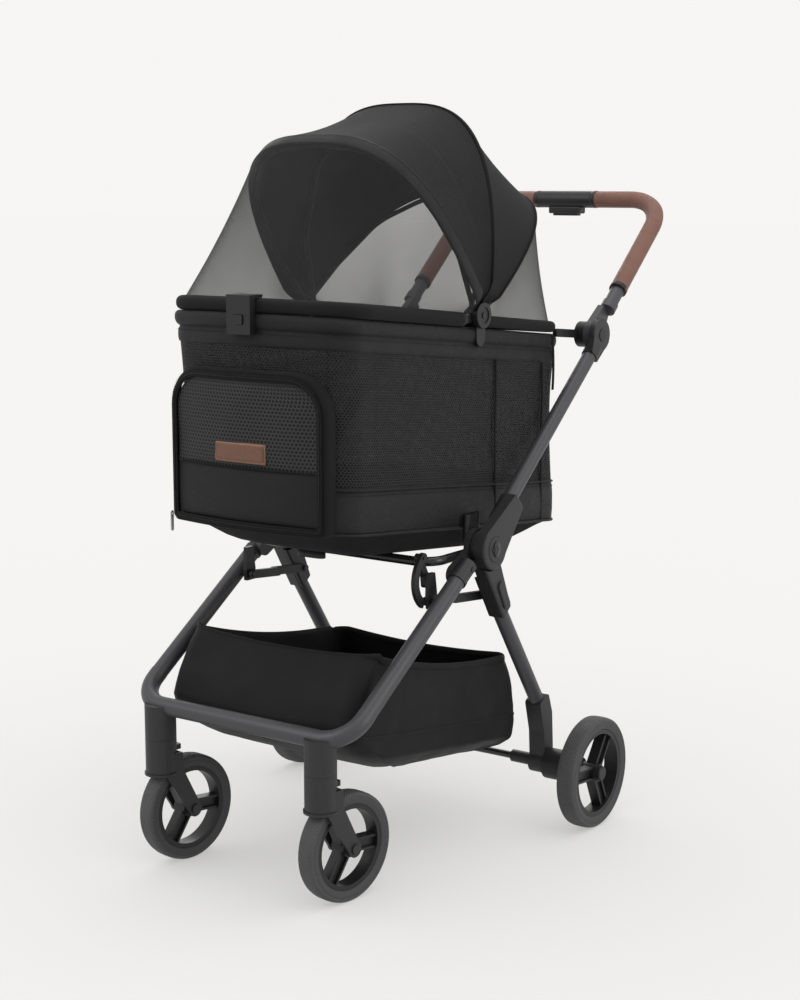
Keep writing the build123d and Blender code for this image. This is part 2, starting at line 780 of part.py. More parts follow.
with BuildPart() as pivot_discs:
    add(disc(canopy, 21, 173.4, 184).part)
    fillet(faces().sort_by(Axis.X)[-1].edges(), 2)
    with BuildSketch(side.offset(182.5)):
        with Locations(canopy):
            Circle(13)
            Circle(5, mode=Mode.SUBTRACT)
    extrude(amount=5, mode=Mode.SUBTRACT)
    add(disc(canopy, 4, 152, 173.4).part)
    add(disc(canopy, 8, 149, 152).part)
    add(strap(canopy, (canopy_y, 822), 24, 173.4, 177).part)
    add(strap((canopy_y, 829), (canopy_y, 822), 24, 171, 177).part)
    add(top_band.part, mode=Mode.SUBTRACT)
    mirror(about=Plane.YZ)
save(pivot_discs, "pivot_discs")

# rear rim hoop, with straps to round hooks beside the handle pivots
with BuildPart() as rear_hoop:
    with BuildLine(rim_plane) as rear_rim_path:
        FilletPolyline((-hoop_x, -31), (-hoop_x, 206), (hoop_x, 206), (hoop_x, -31), radius=38)
    with BuildSketch(Plane(origin=rear_rim_path.line @ 0, z_dir=rear_rim_path.line % 0)):
        Circle(9)
    sweep()
    for x0 in (173, -181):
        add(strap((186, 816), pivot, 14, x0, x0 + 8).part)
    add(disc(pivot, 22, 173, 192.2).part)
    add(disc(pivot, 22, -192.2, -173).part)
    add(pivot_discs.part, mode=Mode.SUBTRACT)
    add(top_band.part, mode=Mode.SUBTRACT)
save(rear_hoop, "rear_hoop")

# rear bow stands on the pivot discs; middle and front bows turn on their pins
with BuildPart() as rear_bow:
    add(bow(bow_rear, 177, 14, rear_half - under, rear_rise - under).part)
    add(pivot_discs.part, mode=Mode.SUBTRACT)
save(rear_bow, "rear_bow")
with BuildPart() as middle_bow:
    add(bow(bow_mid, 156.5, 9, mid_half - under, mid_rise - under).part)
    for x0 in (155, -161):
        add(disc(canopy, 13, x0, x0 + 6).part)
    add(disc(canopy, 4.05, -190, 190).part, mode=Mode.SUBTRACT)
save(middle_bow, "middle_bow")
with BuildPart() as front_bow:
    add(bow(bow_front, 167.0, 9, front_half - under, front_rise - under).part)
    for x0 in (162.5, -172.5):
        add(disc(canopy, 15, x0, x0 + 10).part)
        add(strap(canopy, (-84, level(-84, hoop_level)), 12, x0, x0 + 10).part)
    add(disc(canopy, 4.05, -190, 190).part, mode=Mode.SUBTRACT)
    add(front_hoop.part, mode=Mode.SUBTRACT)
save(front_bow, "front_bow")

band_half = 12.0
band_strip = arch_strip(front_half, front_rise, 2)
with BuildPart() as bow_band:
    with BuildSketch(fan(bow_front, -band_half)):
        add(band_strip)
    extrude(amount=2 * band_half)
    add(front_bow.part, mode=Mode.SUBTRACT)
save(bow_band, "bow_band")
front_fabric = hood(
    (fan(bow_mid, gap), mid_half, mid_rise), (fan(bow_front, -band_half - gap), front_half, front_rise),
    (middle_bow, front_bow),
)
save(front_fabric, "front_fabric")
rear_fabric = hood(
    (fan(bow_rear, gap), rear_half, rear_rise), (fan(bow_mid, -gap), mid_half, mid_rise),
    (middle_bow, rear_bow),
)
save(rear_fabric, "rear_fabric")
front_mesh = hood(
    (fan(bow_front, band_half + gap), front_half, front_rise), (fan(rim_angle, -13), rim_half, 360),
    (front_bow,), 1.2,
)
save(front_mesh, "front_mesh")
rear_mesh = hood(
    (fan(-tilt, 11), rim_half, 254), (fan(bow_rear, -gap), rear_half, rear_rise),
    (rear_bow,), 1.2,
)
save(rear_mesh, "rear_mesh")

# front latch: a clip over the front hoop with a push button
latch_y = cabin_front - 3.5
with BuildPart() as front_latch:
    with BuildSketch(side.offset(-22.5)):
        with BuildLine():
            Polyline((latch_y - 12, 846), (latch_y - 12, 904), (-402, 904), (-402, 899), (latch_y, 899),
                     (latch_y, 846), close=True)
        make_face()
        fillet(vertices().sort_by(Axis.Z)[-2], 5)
    extrude(amount=45)
    with BuildSketch(Plane.XZ.offset(-latch_y + 12 - 6)):
        with Locations((0, 868)):
            Rectangle(18.6, 14.6)
    extrude(amount=10, mode=Mode.SUBTRACT)
    add(front_hoop.part, mode=Mode.SUBTRACT)
save(front_latch, "front_latch")
with BuildPart() as latch_button:
    with BuildSketch(Plane.XZ.offset(-latch_y + 9.3)):
        with Locations((0, 868)):
            RectangleRounded(18, 14, 3)
    extrude(amount=5)
save(latch_button, "latch_button")

# ---- storage basket ------------------------------------------------------
basket_half, cloth = 186.0, 2.5
with BuildPart() as storage_basket:
    with BuildSketch(side.offset(-basket_half)):
        with BuildLine():
            Polyline((-352, 372), (-418, 256), (-300, 168), (-150, 130), (70, 124), (82, 200), (50, 292), close=True)
        make_face()
        fillet(vertices().group_by(Axis.Z)[0:3][0], 12)
    extrude(amount=2 * basket_half)
    with BuildSketch(side.offset(cloth - basket_half)):
        with BuildLine():
            Polyline((-349, 380), (-349, 370), (-414.5, 256.5), (-299, 170.8), (-149.5, 132.6),
                     (67.8, 126.6), (79.4, 200), (46, 300), close=True)
        make_face()
    extrude(amount=2 * (basket_half - cloth), mode=Mode.SUBTRACT)
save(storage_basket, "storage_basket")
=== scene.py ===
import json
from math import radians, sin, cos, pi, atan2, hypot, sqrt
import bpy
import bmesh
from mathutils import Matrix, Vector, noise

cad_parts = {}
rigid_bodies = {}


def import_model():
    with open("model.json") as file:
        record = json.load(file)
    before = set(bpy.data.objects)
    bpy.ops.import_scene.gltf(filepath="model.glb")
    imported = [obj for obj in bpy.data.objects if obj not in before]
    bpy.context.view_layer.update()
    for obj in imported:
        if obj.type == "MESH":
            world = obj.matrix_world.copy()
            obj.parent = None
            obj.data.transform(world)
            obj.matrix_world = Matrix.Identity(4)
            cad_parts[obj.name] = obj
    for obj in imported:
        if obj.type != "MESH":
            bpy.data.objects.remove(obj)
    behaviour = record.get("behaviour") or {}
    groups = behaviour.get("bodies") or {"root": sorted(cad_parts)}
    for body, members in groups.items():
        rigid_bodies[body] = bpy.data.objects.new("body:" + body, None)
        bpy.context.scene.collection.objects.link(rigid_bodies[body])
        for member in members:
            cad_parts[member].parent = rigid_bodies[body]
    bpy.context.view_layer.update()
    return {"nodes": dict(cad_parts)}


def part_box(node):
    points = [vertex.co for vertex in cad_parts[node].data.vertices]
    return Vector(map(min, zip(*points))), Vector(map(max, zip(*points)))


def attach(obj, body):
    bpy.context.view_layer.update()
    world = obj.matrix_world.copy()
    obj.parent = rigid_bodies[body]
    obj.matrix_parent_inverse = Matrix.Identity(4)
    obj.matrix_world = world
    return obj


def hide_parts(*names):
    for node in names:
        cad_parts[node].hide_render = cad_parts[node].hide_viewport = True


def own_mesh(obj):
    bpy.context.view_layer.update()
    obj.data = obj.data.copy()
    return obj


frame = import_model()
scene = bpy.context.scene
nodes = frame["nodes"]
SHIFT = -0.022773  # from a drawn Y to the frame's, whose origin is under the middle of the length


# ---- materials
class Net:
    """A small helper for building one material's node tree."""

    def __init__(self, name, base, rough, metal=0.0, spec=0.5, sheen=0.0):
        self.m = bpy.data.materials.new(name)
        self.m.use_nodes = True
        self.t = self.m.node_tree
        self.t.nodes.clear()
        out = self.t.nodes.new("ShaderNodeOutputMaterial")
        self.s = self.t.nodes.new("ShaderNodeBsdfPrincipled")
        self.t.links.new(self.s.outputs[0], out.inputs[0])
        self.s.inputs["Base Color"].default_value = (*base, 1)
        self.s.inputs["Roughness"].default_value = rough
        self.s.inputs["Metallic"].default_value = metal
        self.s.inputs["Specular IOR Level"].default_value = spec
        self.s.inputs["Sheen Weight"].default_value = sheen
        self.s.inputs["Sheen Roughness"].default_value = 0.45
        self.co = self.node("TexCoord").outputs["Object"]

    def node(self, kind, **props):
        n = self.t.nodes.new("ShaderNode" + kind)
        for k, v in props.items():
            setattr(n, k, v)
        return n

    def put(self, socket, value):
        """Link another socket to this one, or set it to a plain value."""
        if hasattr(value, "links"):
            self.t.links.new(value, socket)
        else:
            socket.default_value = value

    def math(self, op, a, b=0.0):
        n = self.node("Math", operation=op)
        self.put(n.inputs[0], a)
        self.put(n.inputs[1], b)
        return n.outputs[0]

    def uv(self):
        """Metres along and across the sheet."""
        n = self.node("UVMap")
        n.uv_map = "flat"
        s = self.node("SeparateXYZ")
        self.put(s.inputs[0], n.outputs[0])
        return s.outputs

    def noise(self, scale, detail):
        n = self.node("TexNoise")
        self.put(n.inputs["Vector"], self.co)
        n.inputs["Scale"].default_value = scale
        n.inputs["Detail"].default_value = detail
        n.inputs["Roughness"].default_value = 0.55
        return n.outputs["Fac"]

    def cells(self, scale):
        n = self.node("TexVoronoi", feature="DISTANCE_TO_EDGE")
        self.put(n.inputs["Vector"], self.co)
        n.inputs["Scale"].default_value = scale
        return n.outputs["Distance"]

    def ramp(self, fac, low, high, a=0.0, b=1.0):
        n = self.node("MapRange")
        self.put(n.inputs["Value"], fac)
        n.inputs["From Min"].default_value = a
        n.inputs["From Max"].default_value = b
        n.inputs["To Min"].default_value = low
        n.inputs["To Max"].default_value = high
        return n.outputs["Result"]

    def colour(self, fac, low, high):
        n = self.node("Mix", data_type="RGBA")
        self.put(n.inputs[0], fac)
        n.inputs[6].default_value = (*low, 1)
        n.inputs[7].default_value = (*high, 1)
        self.put(self.s.inputs["Base Color"], n.outputs[2])

    def rough(self, value):
        self.put(self.s.inputs["Roughness"], value)

    def bump(self, height, distance):
        n = self.node("Bump")
        n.inputs["Strength"].default_value = 1.0
        n.inputs["Distance"].default_value = distance
        self.put(n.inputs["Height"], height)
        self.t.links.new(n.outputs[0], self.s.inputs["Normal"])

    def alpha(self, value):
        self.put(self.s.inputs["Alpha"], value)

    def wave(self, value, period):
        """0 to 1 sine of a length in metres."""
        turn = self.math("MULTIPLY", value, 2 * pi / period)
        return self.ramp(self.math("SINE", turn), 0, 1, -1, 1)

    def worn(self, slow, low, high):
        """Roughness between two values, patch by patch."""
        self.rough(self.ramp(slow, low, high, 0.3, 0.7))


def powder(name, base, rough, grain=0.00004):
    """Powder coat or moulded plastic: a fine grain, and a slow change in tone."""
    n = Net(name, base, rough, spec=0.36)
    fine = n.noise(2600, 2)
    slow = n.noise(9, 3)
    n.colour(slow, base, tuple(c * 1.25 for c in base))
    n.worn(slow, rough - 0.05, rough + 0.06)
    n.bump(fine, grain)
    return n.m


def tread(name):
    """Tyre tread: rows of small crossed blocks, dusty between."""
    n = Net(name, (0.03, 0.03, 0.031), 0.72, spec=0.35)
    a = n.uv()
    u = n.math("ADD", a[0], a[1])
    v = n.math("SUBTRACT", a[0], a[1])
    block = 0.0052
    p = n.math("MULTIPLY", n.wave(u, block), n.wave(v, block))
    dust = n.noise(22, 5)
    n.colour(n.math("MULTIPLY", p, dust), (0.066, 0.066, 0.068), (0.009, 0.009, 0.009))
    n.worn(dust, 0.62, 0.82)
    n.bump(n.math("POWER", p, 0.6), 0.0009)
    return n.m


def rubber_side(name):
    n = Net(name, (0.035, 0.035, 0.036), 0.62, spec=0.4)
    dust = n.noise(30, 5)
    n.colour(dust, (0.028, 0.028, 0.029), (0.05, 0.05, 0.052))
    n.worn(dust, 0.55, 0.75)
    n.bump(n.noise(900, 2), 0.00006)
    return n.m


def leather(name, low, high, scale, rough, spec=0.45):
    """Fine pores and wider creases, lighter and duller in patches; darker at the pores' edges, which is
    painted shade in the pores.
    """
    n = Net(name, low, rough, spec=spec)
    pores = n.cells(scale)
    creases = n.cells(scale * 0.35)
    slow = n.noise(26, 5)
    # the colour darkens at the pores' edges, where the bump sinks: painted shade in the pores, times a random
    # slow tone
    n.colour(n.math("MULTIPLY", slow, n.ramp(pores, 0.6, 1.15, 0, 0.25)), low, high)
    n.worn(slow, rough - 0.1, rough + 0.1)
    h = n.math("ADD", n.ramp(pores, 0, 1, 0, 0.16), n.ramp(creases, 0, 0.8, 0, 0.12))
    n.bump(h, 0.0003)
    return n.m


def woven(name, low, high, period, depth, rough, twill=False):
    """Plain weave, or twill with its slanted lines; darker between the threads, which is painted shade, and
    patchy in tone.
    """
    n = Net(name, low, rough, spec=0.12, sheen=0.03)
    a = n.uv()
    if twill:
        w = n.wave(n.math("ADD", a[0], n.math("MULTIPLY", a[1], 0.6)), period * 2)
        c = n.wave(a[1], period)
        p = n.math("ADD", n.math("MULTIPLY", w, 0.75), n.math("MULTIPLY", c, 0.25))
    else:
        p = n.math("MULTIPLY", n.wave(a[0], period), n.wave(a[1], period))
    slow = n.noise(14, 5)
    # painted shade between the threads, where the bump sinks, times a random patchy tone
    gap_shade_and_tone = n.math("MULTIPLY", n.ramp(p, 0.35, 1.0), n.ramp(slow, 0.75, 1.2, 0.3, 0.7))
    n.colour(gap_shade_and_tone, low, high)
    n.worn(slow, rough - 0.06, min(1, rough + 0.08))
    n.bump(p, depth)
    return n.m


def ribbed(name, low, high):
    """Ribbed cloth: dark grooves across, which are painted shade, and a painted highlight on the ribs'
    crowns; fine weave between.
    """
    n = Net(name, low, 0.9, spec=0.12, sheen=0.03)
    a = n.uv()
    rib, thread = 0.0042, 0.0011
    rib_crest = n.math("POWER", n.wave(a[1], rib), 1.6)
    weave = n.math("MULTIPLY", n.wave(a[0], thread), n.wave(a[1], thread))
    slow = n.noise(10, 4)
    # the ribs' crowns are painted lighter and the grooves darker: painted highlight and painted shade, times
    # a random slow tone
    n.colour(n.math("MULTIPLY", rib_crest, n.ramp(slow, 0.8, 1.15, 0.3, 0.7)), low, high)
    n.bump(n.math("ADD", n.math("MULTIPLY", rib_crest, 0.8), n.math("MULTIPLY", weave, 0.2)), 0.0006)
    return n.m


def net_mesh(name, low, high, px, py, open_part, slant=False):
    """Knitted mesh: offset rows of cells, px by py metres, with the threads' share of each spot; the cells
    are painted darker than the threads, as painted shade.
    """
    n = Net(name, low, 0.75, spec=0.2, sheen=0.02)
    a = n.uv()
    u = n.math("DIVIDE", a[0], px)
    v = n.math("DIVIDE", a[1], py)
    if slant:
        u, v = n.math("ADD", u, v), n.math("SUBTRACT", u, v)
    row = n.math("FLOOR", v)
    odd = n.math("MODULO", n.math("ABSOLUTE", row), 2.0)
    uu = n.math("ADD", u, n.math("MULTIPLY", odd, 0.5))
    du = n.math("SUBTRACT", n.math("FRACT", uu), 0.5)
    dv = n.math("SUBTRACT", n.math("FRACT", v), 0.5)
    du2 = n.math("POWER", n.math("ABSOLUTE", du), 2.0)
    dv2 = n.math("POWER", n.math("ABSOLUTE", n.math("MULTIPLY", dv, 0.9)), 2.0)
    d = n.math("SQRT", n.math("ADD", du2, dv2))
    wall = n.ramp(d, 0, 1, open_part - 0.06, open_part + 0.06)
    slow = n.noise(12, 4)
    # the cells are painted darker than the threads: painted shade in the cells, times a random slow tone
    n.colour(n.math("MULTIPLY", wall, n.ramp(slow, 0.8, 1.1, 0.3, 0.7)), low, high)
    n.bump(wall, 0.0004)
    return n, wall


def hex_wall(name):
    """The cabin's wall mesh, let through a little at its cells, which are painted near black: painted shade
    of the cabin's inside seen through them.
    """
    # near-black, mostly opaque cells: painted shade standing in for the shaded inside seen through the mesh
    n, wall = net_mesh(name, (0.0008, 0.0008, 0.0008), (0.015, 0.015, 0.0155), 0.0058, 0.0040, 0.34)
    n.alpha(n.ramp(wall, 0.86, 1.0))
    return n.m


def sheer(name, cover, tone):
    """Fine window netting: threads cover part of it, and more of it seen edge on."""
    n = Net(name, (tone, tone, tone * 1.03), 0.8, spec=0.1)
    a = n.uv()
    pitch = 0.0016
    p = n.math("MAXIMUM", n.wave(a[0], pitch), n.wave(a[1], pitch))
    slow = n.noise(7, 4)
    facing = n.node("LayerWeight")
    facing.inputs["Blend"].default_value = 0.35
    k = n.math("MULTIPLY", n.ramp(p, 0.75, 1.1), n.ramp(slow, 0.94, 1.06, 0.3, 0.7))
    edge = n.ramp(facing.outputs["Facing"], cover, 0.97, 0.0, 0.95)
    n.colour(slow, (tone, tone, tone), (tone * 1.5, tone * 1.5, tone * 1.55))
    n.alpha(n.math("MINIMUM", n.math("MULTIPLY", k, edge), 1.0))
    n.bump(p, 0.0001)
    return n.m


def bright(name, base, rough):
    """Bare or plated metal."""
    n = Net(name, base, rough, metal=1.0)
    s = n.noise(60, 4)
    n.worn(s, rough - 0.08, rough + 0.12)
    n.colour(s, tuple(c * 0.8 for c in base), base)
    n.bump(n.noise(1200, 2), 0.00002)
    return n.m


mat = {
    "tube": powder("frame_grey_coat", (0.037, 0.037, 0.041), 0.42),
    "casting": powder("casting_black", (0.015, 0.015, 0.0168), 0.48, 0.00007),
    "plastic": powder("plastic_black", (0.006, 0.006, 0.0068), 0.46, 0.00005),
    "rim": powder("rim_black", (0.008, 0.008, 0.0085), 0.45, 0.00005),
    "gloss": powder("gloss_black", (0.012, 0.012, 0.013), 0.16, 0.00001),
    "dark_steel": bright("black_steel", (0.08, 0.08, 0.085), 0.35),
    "tyre": tread("tyre_tread"),
    "tyre_side": rubber_side("tyre_side"),
    "grip": leather("grip_leather", (0.085, 0.032, 0.022), (0.235, 0.105, 0.075), 520, 0.5),
    "patch": leather("patch_leather", (0.07, 0.028, 0.017), (0.19, 0.085, 0.05), 420, 0.55),
    "patch_edge": leather("patch_edge_leather",
                          (0.16, 0.08, 0.05), (0.30, 0.16, 0.10), 420, 0.6),
    "skin": leather("black_leatherette",
                    (0.005, 0.005, 0.0055), (0.014, 0.014, 0.0152), 480, 0.5, 0.2),
    "twill": woven("hoop_twill",
                   (0.0015, 0.0015, 0.0015), (0.014, 0.014, 0.0145), 0.0013, 0.0004, 0.9, twill=True),
    "rear_cloth": woven("canopy_twill",
                        (0.0025, 0.0025, 0.0027), (0.017, 0.017, 0.018), 0.0009, 0.0003, 0.88, twill=True),
    "rib_cloth": ribbed("canopy_rib", (0.0016, 0.0016, 0.0016), (0.034, 0.034, 0.0355)),
    "nylon": woven("basket_nylon",
                   (0.0045, 0.0045, 0.0048), (0.011, 0.011, 0.0115), 0.0006, 0.0001, 0.6),
    "tape": woven("binding_tape",
                  (0.003, 0.003, 0.003), (0.012, 0.012, 0.0125), 0.0013, 0.0003, 0.85),
    "dark": woven("lining", (0.003, 0.003, 0.003), (0.008, 0.008, 0.0085), 0.0012, 0.0002, 0.95),
    "hex": hex_wall("wall_mesh"),
    "window": sheer("window_mesh", 0.37, 0.026),
    "window_rear": sheer("rear_window_mesh", 0.40, 0.024),
}

# CAD pieces that keep their own shape, by the material they are given
carried = {
    "tube": ("front_bar", "front_legs", "rear_legs", "push_tubes", "handle_arms"),
    "casting": ("hub_brackets", "hub_housings", "rear_hubs", "leg_brackets", "pivot_bases",
                "caster_sockets", "hub_discs", "lock_covers", "caster_fork_left", "caster_fork_right"),
    "plastic": ("leg_plates", "adapter_sockets", "brake_drums", "swivel_tab_left", "swivel_tab_right",
                "handle_core", "fold_trigger", "front_stays", "rear_stays", "transport_hook", "pivot_discs",
                "front_latch", "latch_button", "pivot_button_left", "pivot_button_right", "front_bow",
                "middle_bow", "rear_bow"),
    "gloss": ("seat_bar",),
    "dark_steel": ("hub_pins", "rear_axle"),
    "rim": ("rear_rim_left", "rear_rim_right", "front_rim_left", "front_rim_right"),
}
for key, names in carried.items():
    for name in names:
        o = nodes[name]
        o.data.materials.clear()
        o.data.materials.append(mat[key])
        bevel = o.modifiers.new("worn_edges", "BEVEL")
        bevel.width = 0.0006
        bevel.segments = 2
        bevel.limit_method = "ANGLE"
        bevel.angle_limit = radians(35)
        for p in o.data.polygons:
            p.use_smooth = True
        smooth = o.modifiers.new("clean_shading", "WEIGHTED_NORMAL")
        smooth.keep_sharp = True


# ---- mesh tools
def quad(bm, layer, corners, spots):
    """A smooth face, with a UV for each of its corners."""
    face = bm.faces.new(corners)
    face.smooth = True
    for loop, spot in zip(face.loops, spots):
        loop[layer].uv = spot
    return face


def grid(name, rows, material, body=None, closed=False, thick=0.0, sub=0, offset=0.0):
    """A sheet from rows of points, with metre-sized UVs along and across its threads."""
    bm = bmesh.new()
    layer = bm.loops.layers.uv.new("flat")
    grid_v = [[bm.verts.new(p) for p in row] for row in rows]
    nr, nc = len(rows), len(rows[0])
    across = [0.0]
    mid = nc // 2
    for i in range(1, nr):
        across.append(across[-1] + (Vector(rows[i][mid]) - Vector(rows[i - 1][mid])).length)
    widest = max(rows, key=lambda row: sum((Vector(q) - Vector(p)).length for p, q in zip(row, row[1:])))
    run = [0.0]
    for j in range(1, nc):
        run.append(run[-1] + (Vector(widest[j]) - Vector(widest[j - 1])).length)
    if closed:
        run.append(run[-1] + (Vector(widest[0]) - Vector(widest[-1])).length)
    for i in range(nr - 1):
        for j in range(nc if closed else nc - 1):
            k = (j + 1) % nc
            quad(bm, layer, (grid_v[i][j], grid_v[i][k], grid_v[i + 1][k], grid_v[i + 1][j]),
                 ((run[j], across[i]), (run[j + 1], across[i]),
                  (run[j + 1], across[i + 1]), (run[j], across[i + 1])))
    bm.normal_update()
    return finish_mesh(name, bm, material, body, thick, sub, offset)


def finish_mesh(name, bm, material, body=None, thick=0.0, sub=0, offset=0.0):
    me = bpy.data.meshes.new(name)
    bm.to_mesh(me)
    bm.free()
    o = bpy.data.objects.new(name, me)
    scene.collection.objects.link(o)
    for m in (material if isinstance(material, (list, tuple)) else (material,)):
        me.materials.append(m)
    if thick:
        s = o.modifiers.new("cloth", "SOLIDIFY")
        s.thickness = thick
        s.offset = offset
    if sub:
        d = o.modifiers.new("smooth", "SUBSURF")
        d.levels = sub
        d.render_levels = sub
    if body:
        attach(o, body)
    return o


def sweep(name, path, section, material, body, closed=False, up=(0, 0, 1)):
    """A section (list of 2-D points) carried along a path of 3-D points."""
    pts = [Vector(p) for p in path]
    rows = []
    n = len(pts)
    for i, p in enumerate(pts):
        a = pts[(i - 1) % n] if closed or i > 0 else pts[0]
        b = pts[(i + 1) % n] if closed or i < n - 1 else pts[-1]
        t = (b - a).normalized()
        x = Vector(up).cross(t).normalized()
        y = t.cross(x).normalized()
        rows.append([tuple(p + x * s[0] + y * s[1]) for s in section])
    if closed:
        rows.append(rows[0])
    bm = bmesh.new()
    layer = bm.loops.layers.uv.new("flat")
    vs = [[bm.verts.new(q) for q in row] for row in (rows[:-1] if closed else rows)]
    if closed:
        vs.append(vs[0])
    girth = [0.0]
    for j in range(len(section)):
        k = (j + 1) % len(section)
        girth.append(girth[-1] + hypot(section[k][0] - section[j][0], section[k][1] - section[j][1]))
    run = 0.0
    for i in range(len(vs) - 1):
        step = (Vector(rows[i + 1][0]) - Vector(rows[i][0])).length
        for j in range(len(section)):
            k = (j + 1) % len(section)
            quad(bm, layer, (vs[i][j], vs[i][k], vs[i + 1][k], vs[i + 1][j]),
                 ((run, girth[j]), (run, girth[j + 1]),
                  (run + step, girth[j + 1]), (run + step, girth[j])))
        run += step
    if not closed:
        bm.faces.new(list(reversed(vs[0])))
        bm.faces.new(vs[-1])
    bmesh.ops.recalc_face_normals(bm, faces=bm.faces)
    return finish_mesh(name, bm, material, body)


def round_section(r, n):
    return [(r * cos(2 * pi * i / n), r * sin(2 * pi * i / n)) for i in range(n)]


def oval_section(w, h, n, power=0.6):
    """A superellipse: the lower the power, the squarer it is."""
    pts = []
    for i in range(n):
        a = 2 * pi * i / n
        c, s = cos(a), sin(a)
        pts.append((abs(c) ** power * (w / 2) * (1 if c >= 0 else -1),
                    abs(s) ** power * (h / 2) * (1 if s >= 0 else -1)))
    return pts


def stitches(name, path, material, body, pitch, length, radius):
    """Short thread stitches laid along a path."""
    pts = [Vector(p) for p in path]
    bm = bmesh.new()
    dist = 0.0
    want = 0.0
    for i in range(len(pts) - 1):
        seg = pts[i + 1] - pts[i]
        L = seg.length
        if L < 1e-9:
            continue
        t = seg / L
        side = (t.cross(Vector((0, 0, 1))) if abs(t.z) < 0.9 else t.cross(Vector((0, 1, 0)))).normalized()
        up = side.cross(t)
        while want <= dist + L:
            c = pts[i] + t * (want - dist)
            rings = []
            for f, r in ((-0.5, 0.25), (-0.35, 1.0), (0.35, 1.0), (0.5, 0.25)):
                mid = c + t * length * f
                rings.append([bm.verts.new(mid + side * radius * r * cos(a) + up * radius * r * sin(a))
                              for a in (0, pi / 2, pi, 3 * pi / 2)])
            for r0, r1 in zip(rings, rings[1:]):
                for j in range(4):
                    f = bm.faces.new((r0[j], r0[(j + 1) % 4], r1[(j + 1) % 4], r1[j]))
                    f.smooth = True
            bm.faces.new(list(reversed(rings[0])))
            bm.faces.new(rings[-1])
            want += pitch
        dist += L
    return finish_mesh(name, bm, material, body)


# ---- carrier shapes
SLOPE = radians(6)  # the carrier's levels fall towards the rear
TILT = sin(SLOPE) / cos(SLOPE)
BASE_Z = 0.5255  # height of the floor's level at a drawn Y of -0.1
MID_Y = -0.10 + SHIFT  # the middle of the cabin


def lift(y, h):
    """Z of a level h above the floor's; y is in the frame."""
    return BASE_Z + h - TILT * (y - SHIFT + 0.1)


def bez(a, b, c, d, n):
    """n + 1 points of a cubic curve."""
    out = []
    for i in range(n + 1):
        t = i / n
        s = 1 - t
        out.append(tuple(p * s ** 3 + 3 * q * t * s ** 2 + 3 * u * t * t * s + v * t ** 3
                         for p, q, u, v in zip(a, b, c, d)))
    return out


def front_y(x, inset):
    """The bowed front of the cabin."""
    half, front = 0.170 - inset, -0.417 + inset
    r = (half * half + 0.024 ** 2) / 0.048
    return front + r - sqrt(max(r * r - x * x, 0.0)) + SHIFT


def plan(inset):
    """The cabin's outline seen from above, closed, starting at the middle of the front, towards +X."""
    half, rear = 0.170 - inset, 0.216 - inset + SHIFT
    side_y = -0.393 + inset + SHIFT
    d = 0.042
    xs = half - d * 0.96
    front = [(xs * i / 12, front_y(xs * i / 12, inset)) for i in range(12)]
    a = (xs, front_y(xs, inset))
    b = (half, side_y + d)
    corner = bez(a, (a[0] + 0.024, a[1] + 0.0066), (b[0], b[1] - 0.025), b, 12)
    r = max(0.040 - inset, 0.01)
    side = [(half, b[1] + (rear - r - b[1]) * i / 28) for i in range(1, 28)]
    k = r * 0.5523
    turn = bez((half, rear - r), (half, rear - r + k), (half - r + k, rear), (half - r, rear), 10)
    back = [((half - r) * (1 - i / 10), rear) for i in range(1, 11)]
    right = front + corner + side + turn + back
    left = [(-x, y) for x, y in reversed(right[1:-1])]
    return right + left


def wobble(p, size, scale, seed):
    """A smooth random push, the same each run, so that no cloth is quite even."""
    q = Vector(p) * scale + Vector((seed, seed * 1.7, -seed))
    return size * noise.noise(q)


def ring_rows(levels, sag, seed):
    """Closed rows of points round the cabin; levels are (height, inset)."""
    rows = []
    for h, inset in levels:
        row = []
        for x, y in plan(inset):
            w = wobble((x, y, h), sag, 11, seed)
            d = Vector((x, (y - MID_Y) * 0.5, 0)).normalized()
            row.append((x + d.x * w, y + d.y * w, lift(y, h)))
        rows.append(row)
    return rows


C = "carrier"
mid_levels = [(0.062 + 0.214 * i / 26, 0.0012 + 0.0035 * sin(pi * i / 26)) for i in range(27)]
wall = grid("cabin_wall_mesh", ring_rows(mid_levels, 0.0025, 1.0), mat["hex"], C, closed=True)
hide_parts("mesh_walls")

band_levels = [(-0.0005, 0.004), (0.0, 0.0008), (0.004, -0.0012), (0.02, -0.002), (0.045, -0.0018),
               (0.060, -0.0008), (0.0635, 0.0002), (0.0645, 0.0010), (0.0655, -0.0008), (0.0675, -0.0012),
               (0.0690, 0.0002), (0.0692, 0.002)]
lower = grid("lower_band", ring_rows(band_levels, 0.0012, 3.0), mat["skin"], C,
             closed=True, thick=0.0012, offset=-1)
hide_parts("bottom_band")

roll_levels = [(0.2695, 0.0012), (0.2710, -0.0006), (0.2760, -0.0016), (0.286, -0.0016), (0.2915, -0.0008),
               (0.2932, 0.0009), (0.2945, 0.0006), (0.2962, -0.0018), (0.300, -0.0040), (0.306, -0.0052),
               (0.312, -0.0048), (0.3165, -0.0030), (0.3185, 0.0004), (0.3186, 0.006), (0.3150, 0.0085),
               (0.28, 0.0085)]
upper = grid("upper_band", ring_rows(roll_levels, 0.0010, 5.0), mat["skin"], C, closed=True, sub=1)
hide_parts("top_band")

for name, h, inset, r in (("lower_piping", 0.0, -0.001, 0.0024), ("band_welt", 0.0668, -0.0012, 0.0014)):
    path = [(x, y, lift(y, h)) for x, y in plan(inset)]
    piece = sweep(name, path, round_section(r, 10), mat["skin"], C, closed=True)

for name, h, inset in (("band_stitch_low", 0.0590, -0.0013), ("band_stitch_top", 0.2885, -0.0018)):
    path = [(x, y, lift(y, h)) for x, y in plan(inset - 0.0002)]
    piece = stitches(name, path + path[:1], mat["tape"], C, pitch=0.0044, length=0.003, radius=0.0004)

